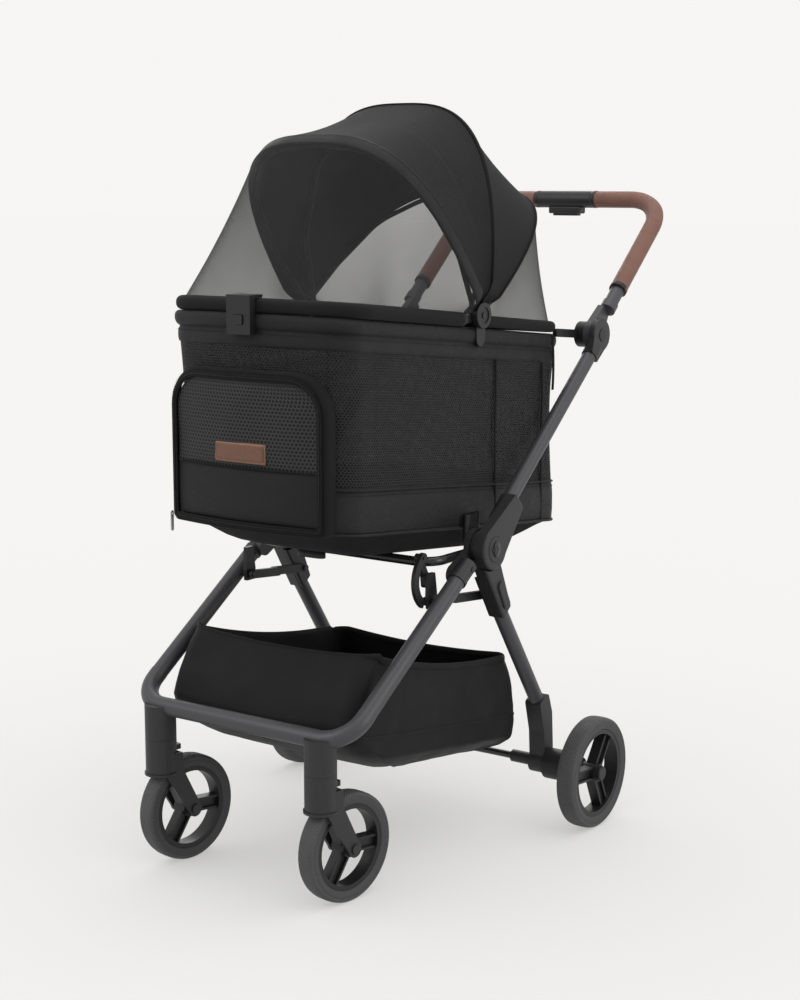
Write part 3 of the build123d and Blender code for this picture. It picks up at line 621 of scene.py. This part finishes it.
# upright seams of the side panels, and a strap with a pull near the rear corner
low, high = 0.001, 0.2695
for sx, end in ((1, "left"), (-1, "right")):
    for tag, y0 in (("seam", 0.005), ("rear_seam", 0.150)):
        y = y0 + SHIFT
        path = [(sx * (0.1702 + 0.0008), y + 0.0009 * sin(9 * i / 24), lift(y, low + (high - low) * i / 24))
                for i in range(25)]
        piece = sweep(f"{tag}_{end}", path, oval_section(0.006, 0.0022, 10), mat["tape"], C, up=(1, 0, 0))
    path = [(sx * (0.1745 + 0.001 * sin(pi * i / 14)), 0.176 + SHIFT + 0.003 * sin(2 * i / 14),
             0.812 - 0.092 * i / 14) for i in range(15)]
    piece = sweep(f"zip_strap_{end}", path, oval_section(0.007, 0.0018, 10), mat["tape"], C, up=(1, 0, 0))

# floor tray: a cloth-covered board, its keel rounded off underneath
tray_rows = []
for h, inset, f in ((0.006, 0.0055, 0.0), (0.0, 0.006, 0.0), (-0.003, 0.008, 0.02), (-0.010, 0.014, 0.16),
                    (-0.020, 0.019, 0.36), (-0.031, 0.024, 0.62), (-0.038, 0.030, 0.84),
                    (-0.0415, 0.042, 0.97), (-0.0425, 0.080, 1.0), (-0.0428, 0.13, 1.0)):
    row = []
    for x, y in plan(min(inset, 0.05)):
        fy = -0.412 + 0.082 * f + SHIFT
        ry = 0.211 - 0.124 * f + SHIFT
        t = (y - (-0.412 + SHIFT)) / 0.623
        yy = fy + (ry - fy) * min(max(t, 0), 1)
        sx = x * (1 - 0.10 * f) * (1 if inset <= 0.05 else max(0.02, 1 - (inset - 0.05) * 11))
        row.append((sx, yy, lift(yy, h)))
    tray_rows.append(row)
tray = grid("tray_cover", tray_rows, mat["dark"], C, closed=True)
bm = bmesh.new()
bm.from_mesh(tray.data)
bm.verts.ensure_lookup_table()
n_row = len(tray_rows[0])
bm.faces.new(bm.verts[:n_row])
bm.faces.new(bm.verts[-n_row:][::-1])
bmesh.ops.recalc_face_normals(bm, faces=bm.faces)
bm.to_mesh(tray.data)
bm.free()
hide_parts("floor_tray")
foot_y = -0.262 + SHIFT
foot = sweep("tray_foot", [(0.020, foot_y, 0.4985), (0.020, foot_y, 0.4870), (0.020, foot_y, 0.4850)],
             oval_section(0.016, 0.052, 20, 0.7), mat["plastic"], C, up=(1, 0, 0))
foot.location.x = -0.02


# ---- front panel
def quarter(cx, cy, r, start, steps, n):
    """Points round a quarter circle, at some of its n steps."""
    turns = [start + pi / 2 * i / n for i in steps]
    return [(cx + r * cos(a), cy + r * sin(a)) for a in turns]


def rounded_rect(half, low, high, r_low, r_high, inset, n=9):
    """Points (x, z) round an upright rectangle with rounded corners, inset evenly."""
    x1, z0, z1 = half - inset, low + inset, high - inset
    rl, rh = max(r_low - inset, 0.004), max(r_high - inset, 0.004)
    rise = z1 - rh - z0 - rl
    steps = range(n + 1)
    across = [1 - 2 * (i + 1) / 10 for i in range(9)]
    return (quarter(x1 - rl, z0 + rl, rl, -pi / 2, steps, n)
            + [(x1, z0 + rl + rise * (i + 1) / 10) for i in range(9)]
            + quarter(x1 - rh, z1 - rh, rh, 0, steps, n) + [((x1 - rh) * f, z1) for f in across]
            + quarter(-x1 + rh, z1 - rh, rh, pi / 2, steps, n)
            + [(-x1, z1 - rh - rise * (i + 1) / 10) for i in range(9)]
            + quarter(-x1 + rl, z0 + rl, rl, pi, steps, n) + [((-x1 + rl) * f, z0) for f in across])


P_LOW, P_HIGH, P_HALF = 0.552, 0.794, 0.150  # the panel: lower and upper edge, half its width
PR_LOW, PR_HIGH = 0.012, 0.062  # the radii of its lower and upper corners
FIELD_IN = 0.0158  # from its edge to the netting
FRONT_END = 0.128  # where the cabin's front begins to turn its corner


def wall_front(x, out):
    """Y a distance out from the cabin's front, running round its corner."""
    if abs(x) <= FRONT_END:
        return front_y(x, 0.0) - out
    return front_y(FRONT_END, 0.0) + (abs(x) - FRONT_END) ** 2 * 9.0 - out


def panel_ring(inset, out):
    outline = rounded_rect(P_HALF, P_LOW, P_HIGH, PR_LOW, PR_HIGH, inset)
    return [(x, wall_front(x, out), z) for x, z in outline]


frame_rows = [panel_ring(i, o) for i, o in (
    (0.0, -0.004), (0.0, 0.004), (0.0002, 0.0105), (0.0015, 0.0145), (0.004, 0.0168), (0.008, 0.0176),
    (0.0125, 0.0172), (0.0150, 0.0158))]
panel_edge = grid("panel_padding", frame_rows, mat["tape"], C, closed=True, sub=1)

high_net, _ = net_mesh("panel_cells", (0.0025, 0.0025, 0.0025), (0.028, 0.028, 0.029), 0.0066, 0.0056, 0.36)
high_net.rough(0.5)
low_net, _ = net_mesh("panel_diagonal", (0.002, 0.002, 0.002), (0.010, 0.010, 0.0105), 0.0042, 0.0042, 0.30,
                      slant=True)
low_net.rough(0.55)


def field(name, z0, z1, out, material):
    """A part of the panel inside its padded edge, between two heights, puffed out a little."""
    rows = []
    hi = P_HIGH - FIELD_IN
    r = PR_HIGH - FIELD_IN
    for i in range(41):
        z = z0 + (z1 - z0) * i / 40
        if z > hi - r:
            limit = (P_HALF - FIELD_IN - r) + sqrt(max(r * r - (z - hi + r) ** 2, 0))
        else:
            limit = P_HALF - FIELD_IN
        rise = max(0.0, 1 - ((z - (z0 + z1) / 2) / ((z1 - z0) / 2 + 1e-6)) ** 4)
        row = []
        for j in range(49):
            x = -limit + 2 * limit * j / 48
            puff = 0.0035 * max(0.0, 1 - (x / limit) ** 4) * rise
            row.append((x, wall_front(x, out + puff + wobble((x, 0, z), 0.0018, 14, 7.0)), z))
        rows.append(row)
    return grid(name, rows, material, C)


SPLIT = 0.648  # height of the seam between the two nets
field_low = field("panel_lower_net", P_LOW + FIELD_IN, SPLIT, 0.0140, low_net.m)
field_high = field("panel_upper_net", SPLIT, P_HIGH - FIELD_IN, 0.0146, high_net.m)
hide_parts("front_panel")
split_path = [(x / 100, wall_front(x / 100, 0.0166), SPLIT) for x in range(-13, 14)]
split_seam = sweep("panel_split_seam", split_path, oval_section(0.0035, 0.002, 8), mat["tape"], C)

# the zip that runs round the panel, and its outer tape
zip_path = [(x, y - 0.0012, z) for x, y, z in panel_ring(0.0105, 0.0174)]
tape = sweep("panel_zip_tape", zip_path, oval_section(0.0095, 0.0016, 10), mat["tape"], C,
             closed=True, up=(0, 1, 0))
teeth_path = [(x, y - 0.0012, z) for x, y, z in zip_path]
teeth = stitches("panel_zip_teeth", teeth_path + teeth_path[:1], mat["plastic"], C,
                 pitch=0.0022, length=0.0013, radius=0.0013)
for k, inset in enumerate((0.0032, 0.0150)):
    line = [(x, y - 0.0006, z) for x, y, z in panel_ring(inset, 0.0166)]
    piece = stitches(f"panel_stitch_{k}", line + line[:1], mat["rear_cloth"], C,
                     pitch=0.0042, length=0.0028, radius=0.0004)

# blank leather patch with a stitched border
PATCH_Z = 0.671  # height of its middle


def patch_rows(w, h, out, crown):
    rows = []
    for i in range(15):
        v = -1 + 2 * i / 14
        row = []
        for j in range(25):
            u = -1 + 2 * j / 24
            e = max(0.0, 1 - max(abs(u) ** 14, abs(v) ** 8))
            row.append((u * w / 2, wall_front(u * w / 2, out + crown * e ** 0.5), PATCH_Z + v * h / 2))
        rows.append(row)
    return rows


edge_patch = grid("patch_edge", patch_rows(0.097, 0.030, 0.0168, 0.0020), mat["patch_edge"], C, thick=0.0008)
face_patch = grid("patch_face", patch_rows(0.0935, 0.0265, 0.0178, 0.0020), mat["patch"], C, thick=0.0006)
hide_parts("leather_patch")
border = rounded_rect(0.0448, PATCH_Z - 0.0112, PATCH_Z + 0.0112, 0.002, 0.002, 0.0, 3)
border = [(x, wall_front(x, 0.0200), z) for x, z in border]
patch_stitch = stitches("patch_stitch", border + border[:1], mat["patch_edge"], C,
                        pitch=0.0032, length=0.0022, radius=0.00035)


# ---- hoops
RIM_H = 0.330  # from the floor's level to the hoops


def rim_point(x, y):
    """A point on the padded hoops' sloping plane, from its own x and y in metres."""
    return (x, y * cos(SLOPE) + SHIFT, BASE_Z + RIM_H - TILT * 0.1 - y * sin(SLOPE))


def fillet_path(points, r, n=10):
    """A line of points with its corners rounded."""
    out = [points[0]]
    for a, b, c in zip(points, points[1:], points[2:]):
        va, vc = (Vector(a) - Vector(b)), (Vector(c) - Vector(b))
        turn = pi - va.angle(vc)
        d = min(r * sin(turn / 2) / max(cos(turn / 2), 1e-6), va.length * 0.5, vc.length * 0.5)
        p, q = Vector(b) + va.normalized() * d, Vector(b) + vc.normalized() * d
        k = 4 / 3 * sin(turn / 4) / cos(turn / 4) * r
        k = min(k, d * 0.9)
        out += bez(p, p - va.normalized() * k, q - vc.normalized() * k, q, n)
    out.append(points[-1])
    return out


def dense(path, step):
    """The same path with a point about every step."""
    pts = [Vector(path[0])]
    for p in path[1:]:
        q = Vector(p)
        L = (q - pts[-1]).length
        n = max(1, int(L / step))
        a = pts[-1]
        for i in range(1, n + 1):
            pts.append(a.lerp(q, i / n))
    return [tuple(p) for p in pts]


HOOP_X = 0.168
front_flat = fillet_path([(-HOOP_X, -0.098), (-HOOP_X, -0.394), (0, -0.412), (HOOP_X, -0.394),
                          (HOOP_X, -0.098)], 0.058)
rear_flat = fillet_path([(-HOOP_X, -0.032), (-HOOP_X, 0.206), (HOOP_X, 0.206), (HOOP_X, -0.032)], 0.038)
front_rim = dense([rim_point(*p) for p in front_flat], 0.008)
rear_rim = dense([rim_point(*p) for p in rear_flat], 0.008)
KF = "canopy_front"
front_sleeve = sweep("front_hoop_sleeve", front_rim, oval_section(0.0245, 0.0226, 20, 0.85), mat["twill"], KF)
rear_sleeve = sweep("rear_hoop_sleeve", rear_rim, oval_section(0.0196, 0.0190, 18, 0.85), mat["twill"], C)
for name, path, body, r in (("front_hoop_seam", front_rim, KF, 0.0125),
                            ("rear_hoop_seam", rear_rim, C, 0.0101)):
    line = []
    for p in path:
        d = (Vector(p) - Vector((0, MID_Y, p[2]))).normalized()
        line.append((p[0] + d.x * r * 0.96, p[1] + d.y * r * 0.96, p[2] - 0.003))
    piece = stitches(name, line, mat["tape"], body, pitch=0.005, length=0.0034, radius=0.0005)
for name in ("front_hoop", "rear_hoop"):
    nodes[name].data.materials.clear()
    nodes[name].data.materials.append(mat["plastic"])


# ---- canopy
PIVOT_Y, PIVOT_Z = -0.050 + SHIFT, 0.859
HEART = Vector((0, MID_Y, 0.86))  # the cloths are pulled in towards this point


def fan_point(angle, x, r, shift):
    """A point r from the pivots on a bow's plane; shift moves it across that plane."""
    a = radians(angle)
    x *= 1 - 0.10 * min(1.0, max(0.0, (0.040 - r) / 0.024))   # the cloth ends gather in beside the pivot
    return (x, PIVOT_Y + r * cos(a) - shift * sin(a), PIVOT_Z + r * sin(a) + shift * cos(a))


def arch(half, rise, turn):
    """A point of a bow's squarish arch, turn degrees round it."""
    c, s = cos(radians(turn)), sin(radians(turn))
    across = abs(c) ** (2 / 3) * half
    return (across if c >= 0 else -across, s ** (2 / 3) * rise)


def even(path, n):
    """n + 1 points at even steps along a path."""
    pts = [Vector(p) for p in path]
    run = [0.0]
    for a, b in zip(pts, pts[1:]):
        run.append(run[-1] + (b - a).length)
    out, j = [], 0
    for i in range(n + 1):
        want = run[-1] * i / n
        while j < len(run) - 2 and run[j + 1] < want:
            j += 1
        f = (want - run[j]) / max(run[j + 1] - run[j], 1e-9)
        out.append(pts[j].lerp(pts[j + 1], min(max(f, 0), 1)))
    return out


COLS = 96  # columns of faces in each canopy cloth
FEET = 0.5  # degrees left off each foot of an arch


def arch_line(angle, half, rise, shift=0.0, inset=0.0):
    turns = [FEET + (180 - 2 * FEET) * i / 240 for i in range(241)]
    return even([fan_point(angle, *arch(half - inset, rise - inset, t), shift) for t in turns], COLS)


def span(a, b, rows, sag):
    """Rows of points stretched between two lines, drawn in towards the cabin between them."""
    out = []
    for i in range(rows + 1):
        t = i / rows
        row = []
        for j, (p, q) in enumerate(zip(a, b)):
            m = p.lerp(q, t)
            ends = min(1.0, 3.2 * min(j, COLS - j) / COLS)
            pull = sag * 4 * t * (1 - t) * ends
            row.append(tuple(m - (m - HEART).normalized() * pull))
        out.append(row)
    return out


# each bow: degrees from the rear, half its width and its rise
F_BOW, M_BOW, R_BOW = (126.9, 0.192, 0.340), (84.3, 0.192, 0.333), (36.5, 0.186, 0.326)
band_low = arch_line(*F_BOW, 0.012)
band_high = arch_line(*F_BOW, -0.012)
mid_line = arch_line(*M_BOW)
rear_line = arch_line(*R_BOW)
rim_top = even([(x * 0.985, y, z + 0.0085) for x, y, z in front_rim], COLS)[::-1]
rear_top = even([(x * 0.985, y, z + 0.0075) for x, y, z in rear_rim], COLS)[::-1]

front_net = grid("front_window", span(rim_top, band_low, 30, 0.004), mat["window"], KF)
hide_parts("front_mesh")
rear_net = grid("rear_window", span(rear_top, rear_line, 24, 0.004), mat["window_rear"], C)
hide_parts("rear_mesh")

band_rows = []
for s, up in ((0.0122, -0.0016), (0.0120, 0.0002), (0.0105, 0.0010), (0.0, 0.0014), (-0.0105, 0.0010),
              (-0.0120, 0.0002), (-0.0122, -0.0016)):
    band_rows.append(arch_line(*F_BOW, s, -up))
band = grid("bow_band_cover", band_rows, mat["skin"], KF)
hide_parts("bow_band")
for k, s in enumerate((0.0098, -0.0098)):
    piece = stitches(f"bow_band_stitch_{k}", arch_line(*F_BOW, s, -0.0012), mat["tape"], KF,
                     pitch=0.0045, length=0.003, radius=0.0004)

# each roof cloth is two lengths, and each length turns with the bow it is sewn to
front_rows = span(band_high, mid_line, 26, 0.007)
rear_rows = span(mid_line, rear_line, 28, 0.006)
front_roof = grid("front_roof", front_rows[:14], mat["rib_cloth"])
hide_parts("front_fabric")
front_fold = grid("front_roof_fold", front_rows[13:], mat["rib_cloth"])
rear_fold = grid("rear_roof_fold", rear_rows[:15], mat["rear_cloth"])
rear_roof = grid("rear_roof", rear_rows[14:], mat["rear_cloth"])
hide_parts("rear_fabric")
for o, body in ((front_roof, KF), (front_fold, "middle_bow"), (rear_fold, "middle_bow"), (rear_roof, C)):
    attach(o, body)
for name, line, body in (("middle_seam", mid_line, "middle_bow"), ("rear_seam_tape", rear_line, C)):
    path = [p + (p - HEART).normalized() * 0.0005 for p in line]
    piece = sweep(name, path, oval_section(0.0075, 0.0024, 10), mat["tape"], body)


# ---- basket
def lerp2(path, t):
    """The point a share t of the way along evenly counted points."""
    n = len(path) - 1
    k = min(int(t * n), n - 1)
    f = t * n - k
    a, b = path[k], path[k + 1]
    return (a[0] + (b[0] - a[0]) * f, a[1] + (b[1] - a[1]) * f)


BASKET_R = 0.03  # its corners
BASKET_LOW = 0.1265  # its lowest point


def basket_corner(cx, cy, z, start):
    """Five points round a corner, from the angle start on."""
    return [(x, y, z) for x, y in quarter(cx, cy, BASKET_R, start, range(1, 6), 6)]


front_side = [(-0.351, 0.371), (-0.372, 0.338), (-0.392, 0.303), (-0.408, 0.268), (-0.403, 0.245),
              (-0.368, 0.218), (-0.320, 0.188), (-0.270, 0.166), (-0.215, 0.150)]
rear_side = [(0.046, 0.291), (0.060, 0.262), (0.070, 0.232), (0.077, 0.200), (0.078, 0.172),
             (0.074, 0.148), (0.062, 0.132), (0.030, 0.126), (-0.010, 0.127)]
basket_rows = []
LEVELS = 40
END_N = 26  # points across its front and rear
for i in range(LEVELS + 1):
    t = i / LEVELS
    fy, fz = lerp2(front_side, t)
    ry, rz = lerp2(rear_side, t)
    half = 0.180 + 0.004 * sin(pi * min(t * 1.2, 1)) - 0.055 * max(0, t - 0.66) / 0.34
    r = BASKET_R
    row = []
    ends = [(-1 + 2 * j / (END_N - 1)) * (half - r) for j in range(END_N)]
    side = []
    for j in range(END_N + 10):
        y = fy + r + (ry - fy - 2 * r) * (j / (END_N + 9))
        side.append((y, fz + (rz - fz) * (y - fy) / (ry - fy)))
    loop = [(x, fy, fz) for x in ends]
    loop += basket_corner(half - r, fy + r, fz, -pi / 2)
    loop += [(half, y, z) for y, z in side]
    loop += basket_corner(half - r, ry - r, rz, 0)
    loop += [(x, ry, rz) for x in reversed(ends)]
    loop += basket_corner(-half + r, ry - r, rz, pi / 2)
    loop += [(-half, y, z) for y, z in reversed(side)]
    loop += basket_corner(-half + r, fy + r, fz, pi)
    for x, y, z in loop:
        across = abs(y - (fy + ry) / 2) / ((ry - fy) / 2)
        lat = 1 - (x / half) ** 2
        droop = -0.016 * (1 - across ** 2) * (1 - t) ** 2 if abs(x) > half * 0.9 else 0.0
        if across > 0.93:
            droop -= 0.010 * lat * (1 - t) ** 2
        w = (wobble((x, y, z * 0.6), 0.0050 * sin(pi * min(1, t * 1.1 + 0.06)), 9, 11.0)
             + wobble((x, y * 1.3, z), 0.0020, 26, 4.0))
        nx = x / half if abs(x) > half * 0.86 else 0.0
        ny = -1.0 if y < fy + r * 0.8 else (1.0 if y > ry - r * 0.8 else 0.0)
        L = max(hypot(nx, ny), 1e-6)
        belly = -0.010 * sin(pi * t) * lat if ny < 0 else 0.0
        edge = 1.0 if t > 0.02 else 0.3
        px = x + (w - 0.003) * nx / L * edge
        px = max(-0.1855, min(0.1855, px))
        py = y + (w - 0.002) * ny / L * edge + belly
        row.append((px, py + SHIFT, max(z + droop, BASKET_LOW)))
    basket_rows.append(row)
floor_row = basket_rows[-1]
for k in (0.8, 0.55, 0.3, 0.08):
    cy = sum(p[1] for p in floor_row) / len(floor_row)
    basket_rows.append([(p[0] * k, cy + (p[1] - cy) * (0.6 + 0.4 * k), p[2] - 0.004 * (1 - k))
                        for p in floor_row])
basket = grid("basket_bag", basket_rows, mat["nylon"], closed=True, thick=0.0016)
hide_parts("storage_basket")
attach(basket, "front_frame")
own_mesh(basket)
hem = sweep("basket_hem", [(x, y, z - 0.004) for x, y, z in basket_rows[0]],
            oval_section(0.0034, 0.010, 12, 0.7), mat["nylon"], "front_frame", closed=True)
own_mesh(hem)
seam_row = basket_rows[int(0.45 * (len(basket_rows) - 4))]
seam = sweep("basket_seam", [(x * 1.004, y, z) for x, y, z in seam_row],
             oval_section(0.0026, 0.0044, 10), mat["nylon"], "front_frame", closed=True)
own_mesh(seam)


# ---- tyres
def revolve(name, profile, centre, axis, materials, bands, body, segments=96):
    """A profile of (across, radius) turned about an axle; bands gives each strip's material index."""
    ax = Vector(axis).normalized()
    u = ax.cross(Vector((0, 0, 1))).normalized()
    v = u.cross(ax)
    c = Vector(centre)
    bm = bmesh.new()
    layer = bm.loops.layers.uv.new("flat")
    rings = []
    for i in range(segments):
        a = 2 * pi * i / segments
        d = u * cos(a) + v * sin(a)
        rings.append([bm.verts.new(c + ax * w + d * r) for w, r in profile])
    girth = [0.0]
    for (w0, r0), (w1, r1) in zip(profile, profile[1:]):
        girth.append(girth[-1] + hypot(w1 - w0, r1 - r0))
    outer = max(r for _, r in profile)
    for i in range(segments):
        k = (i + 1) % segments
        s0, s1 = 2 * pi * outer * i / segments, 2 * pi * outer * (i + 1) / segments
        for j in range(len(profile) - 1):
            f = quad(bm, layer, (rings[i][j], rings[k][j], rings[k][j + 1], rings[i][j + 1]),
                     ((s0, girth[j]), (s1, girth[j]), (s1, girth[j + 1]), (s0, girth[j + 1])))
            f.material_index = bands[j]
    bmesh.ops.recalc_face_normals(bm, faces=bm.faces)
    return finish_mesh(name, bm, materials, body)


def tyre_profile(r, w, depth):
    """Half-round tread, a shallow groove at the shoulder, side wall and the bead at the rim."""
    h = w / 2
    side = [(h * 0.62, r - depth), (h * 0.84, r - depth + 0.0006)]
    side += [(h * f, r - depth * g) for f, g in (
        (0.88, 0.88), (0.93, 0.62), (0.985, 0.50), (0.94, 0.42), (0.94, 0.38), (0.985, 0.32), (0.93, 0.16),
        (0.80, 0.055), (0.55, 0.012))]
    side.append((h * 0.25, r))
    profile = side + [(-a, b) for a, b in reversed(side)]
    bands = [0 if (p[1] + q[1]) / 2 > r - depth * 0.31 else 1 for p, q in zip(profile, profile[1:])]
    return profile, bands


# the front casters stand turned a little about their stems, as in the photograph
FRONT_AXLE, REAR_AXLE = (0.98985, -0.14211, 0), (1, 0, 0)
wheels = (
    ("front", "left", (0.1649, -0.3989 + SHIFT, 0.085), FRONT_AXLE, 0.085, 0.031, 0.019),
    ("front", "right", (-0.1511, -0.3989 + SHIFT, 0.085), FRONT_AXLE, 0.085, 0.031, 0.019),
    ("rear", "left", (0.305, 0.104 + SHIFT, 0.093), REAR_AXLE, 0.093, 0.033, 0.020),
    ("rear", "right", (-0.305, 0.104 + SHIFT, 0.093), REAR_AXLE, 0.093, 0.033, 0.020),
)
for end, hand, centre, axis, r, w, depth in wheels:
    node = f"{end}_tyre_{hand}"
    profile, bands = tyre_profile(r, w, depth)
    piece = revolve(node.replace("tyre", "tread"), profile, centre, axis, (mat["tyre"], mat["tyre_side"]),
                    bands, f"{end}_wheel_{hand}")
    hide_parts(node)


# ---- handle
GRIP_Y, GRIP_Z = 0.342, 0.880  # the lower end of the grips
TOP_Y, TOP_Z = 0.518, 1.034  # the cross bar
rise = atan2(TOP_Z - GRIP_Z, TOP_Y - GRIP_Y)
reach = hypot(TOP_Z - GRIP_Z, TOP_Y - GRIP_Y)
core_half = 0.056
GRIP_R = 0.01505


def grip_point(x, s):
    """A point on the handle's sloping plane, s up from the grips' lower end."""
    return (x, GRIP_Y + SHIFT + s * cos(rise), GRIP_Z + s * sin(rise))


for sx, tag in ((1, "left"), (-1, "right")):
    flat = fillet_path([(sx * 0.206, 0.0), (sx * 0.206, reach), (sx * core_half, reach)], 0.072, 20)
    path = dense([grip_point(*p) for p in flat], 0.004)
    up = (0, -sin(rise), cos(rise))
    section = []
    for i in range(28):
        a = 2 * pi * i / 28
        r = GRIP_R + {13: 0.0004, 14: 0.0009, 15: 0.0004}.get(i, 0.0)      # the raised seam
        section.append((r * cos(a), r * sin(a)))
    wrap = sweep(f"grip_wrap_{tag}", path, section, mat["grip"], "handle", up=up)
    if sx > 0:
        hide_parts("grips")
    inner = []
    for p0, p1 in zip(path, path[1:]):
        t = (Vector(p1) - Vector(p0)).normalized()
        side = t.cross(Vector(up)).normalized() * (1 if sx > 0 else -1)
        inner.append(tuple(Vector(p0) - side * 0.0152))
    for k, dz in enumerate((0.0022, -0.0022)):
        line = [tuple(Vector(p) + Vector(up) * dz) for p in inner]
        piece = stitches(f"grip_stitch_{tag}_{k}", line, mat["patch_edge"], "handle",
                         pitch=0.0042, length=0.003, radius=0.0005)
    for k, (a, b) in enumerate(((0, 2), (len(path) - 3, len(path) - 1))):
        ring_path = [path[a], tuple((Vector(path[a]) + Vector(path[b])) / 2), path[b]]
        piece = sweep(f"grip_end_{tag}_{k}", ring_path, round_section(0.0157, 28), mat["plastic"], "handle",
                      up=up)


# ---- small frame details
HUB = (-0.082, 0.494)  # drawn Y and Z of the folding hub


def side_disc(name, radius, x, depth, material, squash, dome=0.0, turn=0.0):
    """A domed oval badge on the outside of the hub; x is signed."""
    sign = 1 if x > 0 else -1
    rows = []
    for f, h in ((1.0, 0.0), (1.0, 0.55), (0.96, 0.85), (0.88, 1.0), (0.6, 1.0 + dome),
                 (0.3, 1.0 + dome * 1.3), (0.02, 1.0 + dome * 1.4)):
        row = []
        for i in range(40):
            a = 2 * pi * i / 40
            py, pz = radius * f * cos(a) * squash, radius * f * sin(a)
            row.append((x + sign * depth * h, HUB[0] + SHIFT + py * cos(turn) - pz * sin(turn),
                        HUB[1] + py * sin(turn) + pz * cos(turn)))
        rows.append(row)
    return grid(name, rows, material, "push_frame", closed=True)


hub_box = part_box("hub_discs")[1].x
for sx, tag in ((1, "left"), (-1, "right")):
    badge = side_disc(f"hub_badge_{tag}", 0.0125, sx * (hub_box - 0.0003), 0.0016, mat["gloss"], 0.72,
                      dome=0.3)
    for k, turn in enumerate((0, pi / 2)):
        bar = side_disc(f"hub_mark_{tag}_{k}", 0.0062, sx * (hub_box + 0.0014), 0.0012, mat["tube"], 0.22,
                        turn=turn)

# ---- set
stage_mat = Net("paper_floor", (0.555, 0.553, 0.548), 0.95, spec=0.0)
stage_mat.rough(stage_mat.ramp(stage_mat.noise(3, 2), 0.93, 0.98, 0.3, 0.7))
rows = [[(x * 4.0, y * 4.0, 0.0) for x in range(-10, 11)] for y in range(-10, 11)]
floor = grid("floor_sheet", rows, stage_mat.m)
floor.location.z = -0.0002


def area_light(name, where, to, size, size_y, power):
    data = bpy.data.lights.new(name, "AREA")
    data.shape = "RECTANGLE"
    data.size = size
    data.size_y = size_y
    data.energy = power
    o = bpy.data.objects.new(name, data)
    scene.collection.objects.link(o)
    o.location = where
    o.rotation_euler = (Vector(to) - Vector(where)).to_track_quat("-Z", "Y").to_euler()


world = bpy.data.worlds.new("studio")
world.use_nodes = True
backdrop = world.node_tree.nodes["Background"].inputs
backdrop[0].default_value = (0.925, 0.917, 0.90, 1)
backdrop[1].default_value = 1.0
scene.world = world
scene.view_settings.view_transform = "Standard"
area_light("key", (-1.6, -3.0, 3.2), (0, 0, 0.5), 2.4, 2.4, 55)
area_light("side", (3.4, 0.4, 1.8), (0, 0, 0.6), 1.6, 2.6, 40)
area_light("top", (0.2, 0.3, 3.6), (0, 0, 0.6), 2.6, 2.6, 45)
area_light("rim", (-2.2, 2.6, 2.2), (0, 0, 0.7), 1.6, 2.0, 30)

# a sun without shadows lights the sheet alone, which keeps the shadow on it soft
fill = bpy.data.lights.new("sheet_fill", "SUN")
fill.energy = 2.30
fill.use_shadow = False
fill_lamp = bpy.data.objects.new("sheet_fill", fill)

# the area lamps light the stroller only, so that the sheet stays one even tone
unlit = bpy.data.collections.new("unlit_floor")
unlit.objects.link(floor)
unlit.collection_objects[0].light_linking.link_state = "EXCLUDE"
for o in scene.objects:
    if o.type == "LIGHT":
        o.light_linking.receiver_collection = unlit
lit = bpy.data.collections.new("lit_floor")
lit.objects.link(floor)
scene.collection.objects.link(fill_lamp)
fill_lamp.light_linking.receiver_collection = lit

cam_data = bpy.data.cameras.new("camera")
cam_data.sensor_width = 36
cam_data.lens = 66.9
cam = bpy.data.objects.new("camera", cam_data)
scene.collection.objects.link(cam)
cam.location = (1.7688, -2.5238 + SHIFT, 1.0699)
cam.rotation_euler = (radians(80.22), 0, radians(35.25))
scene.camera = cam
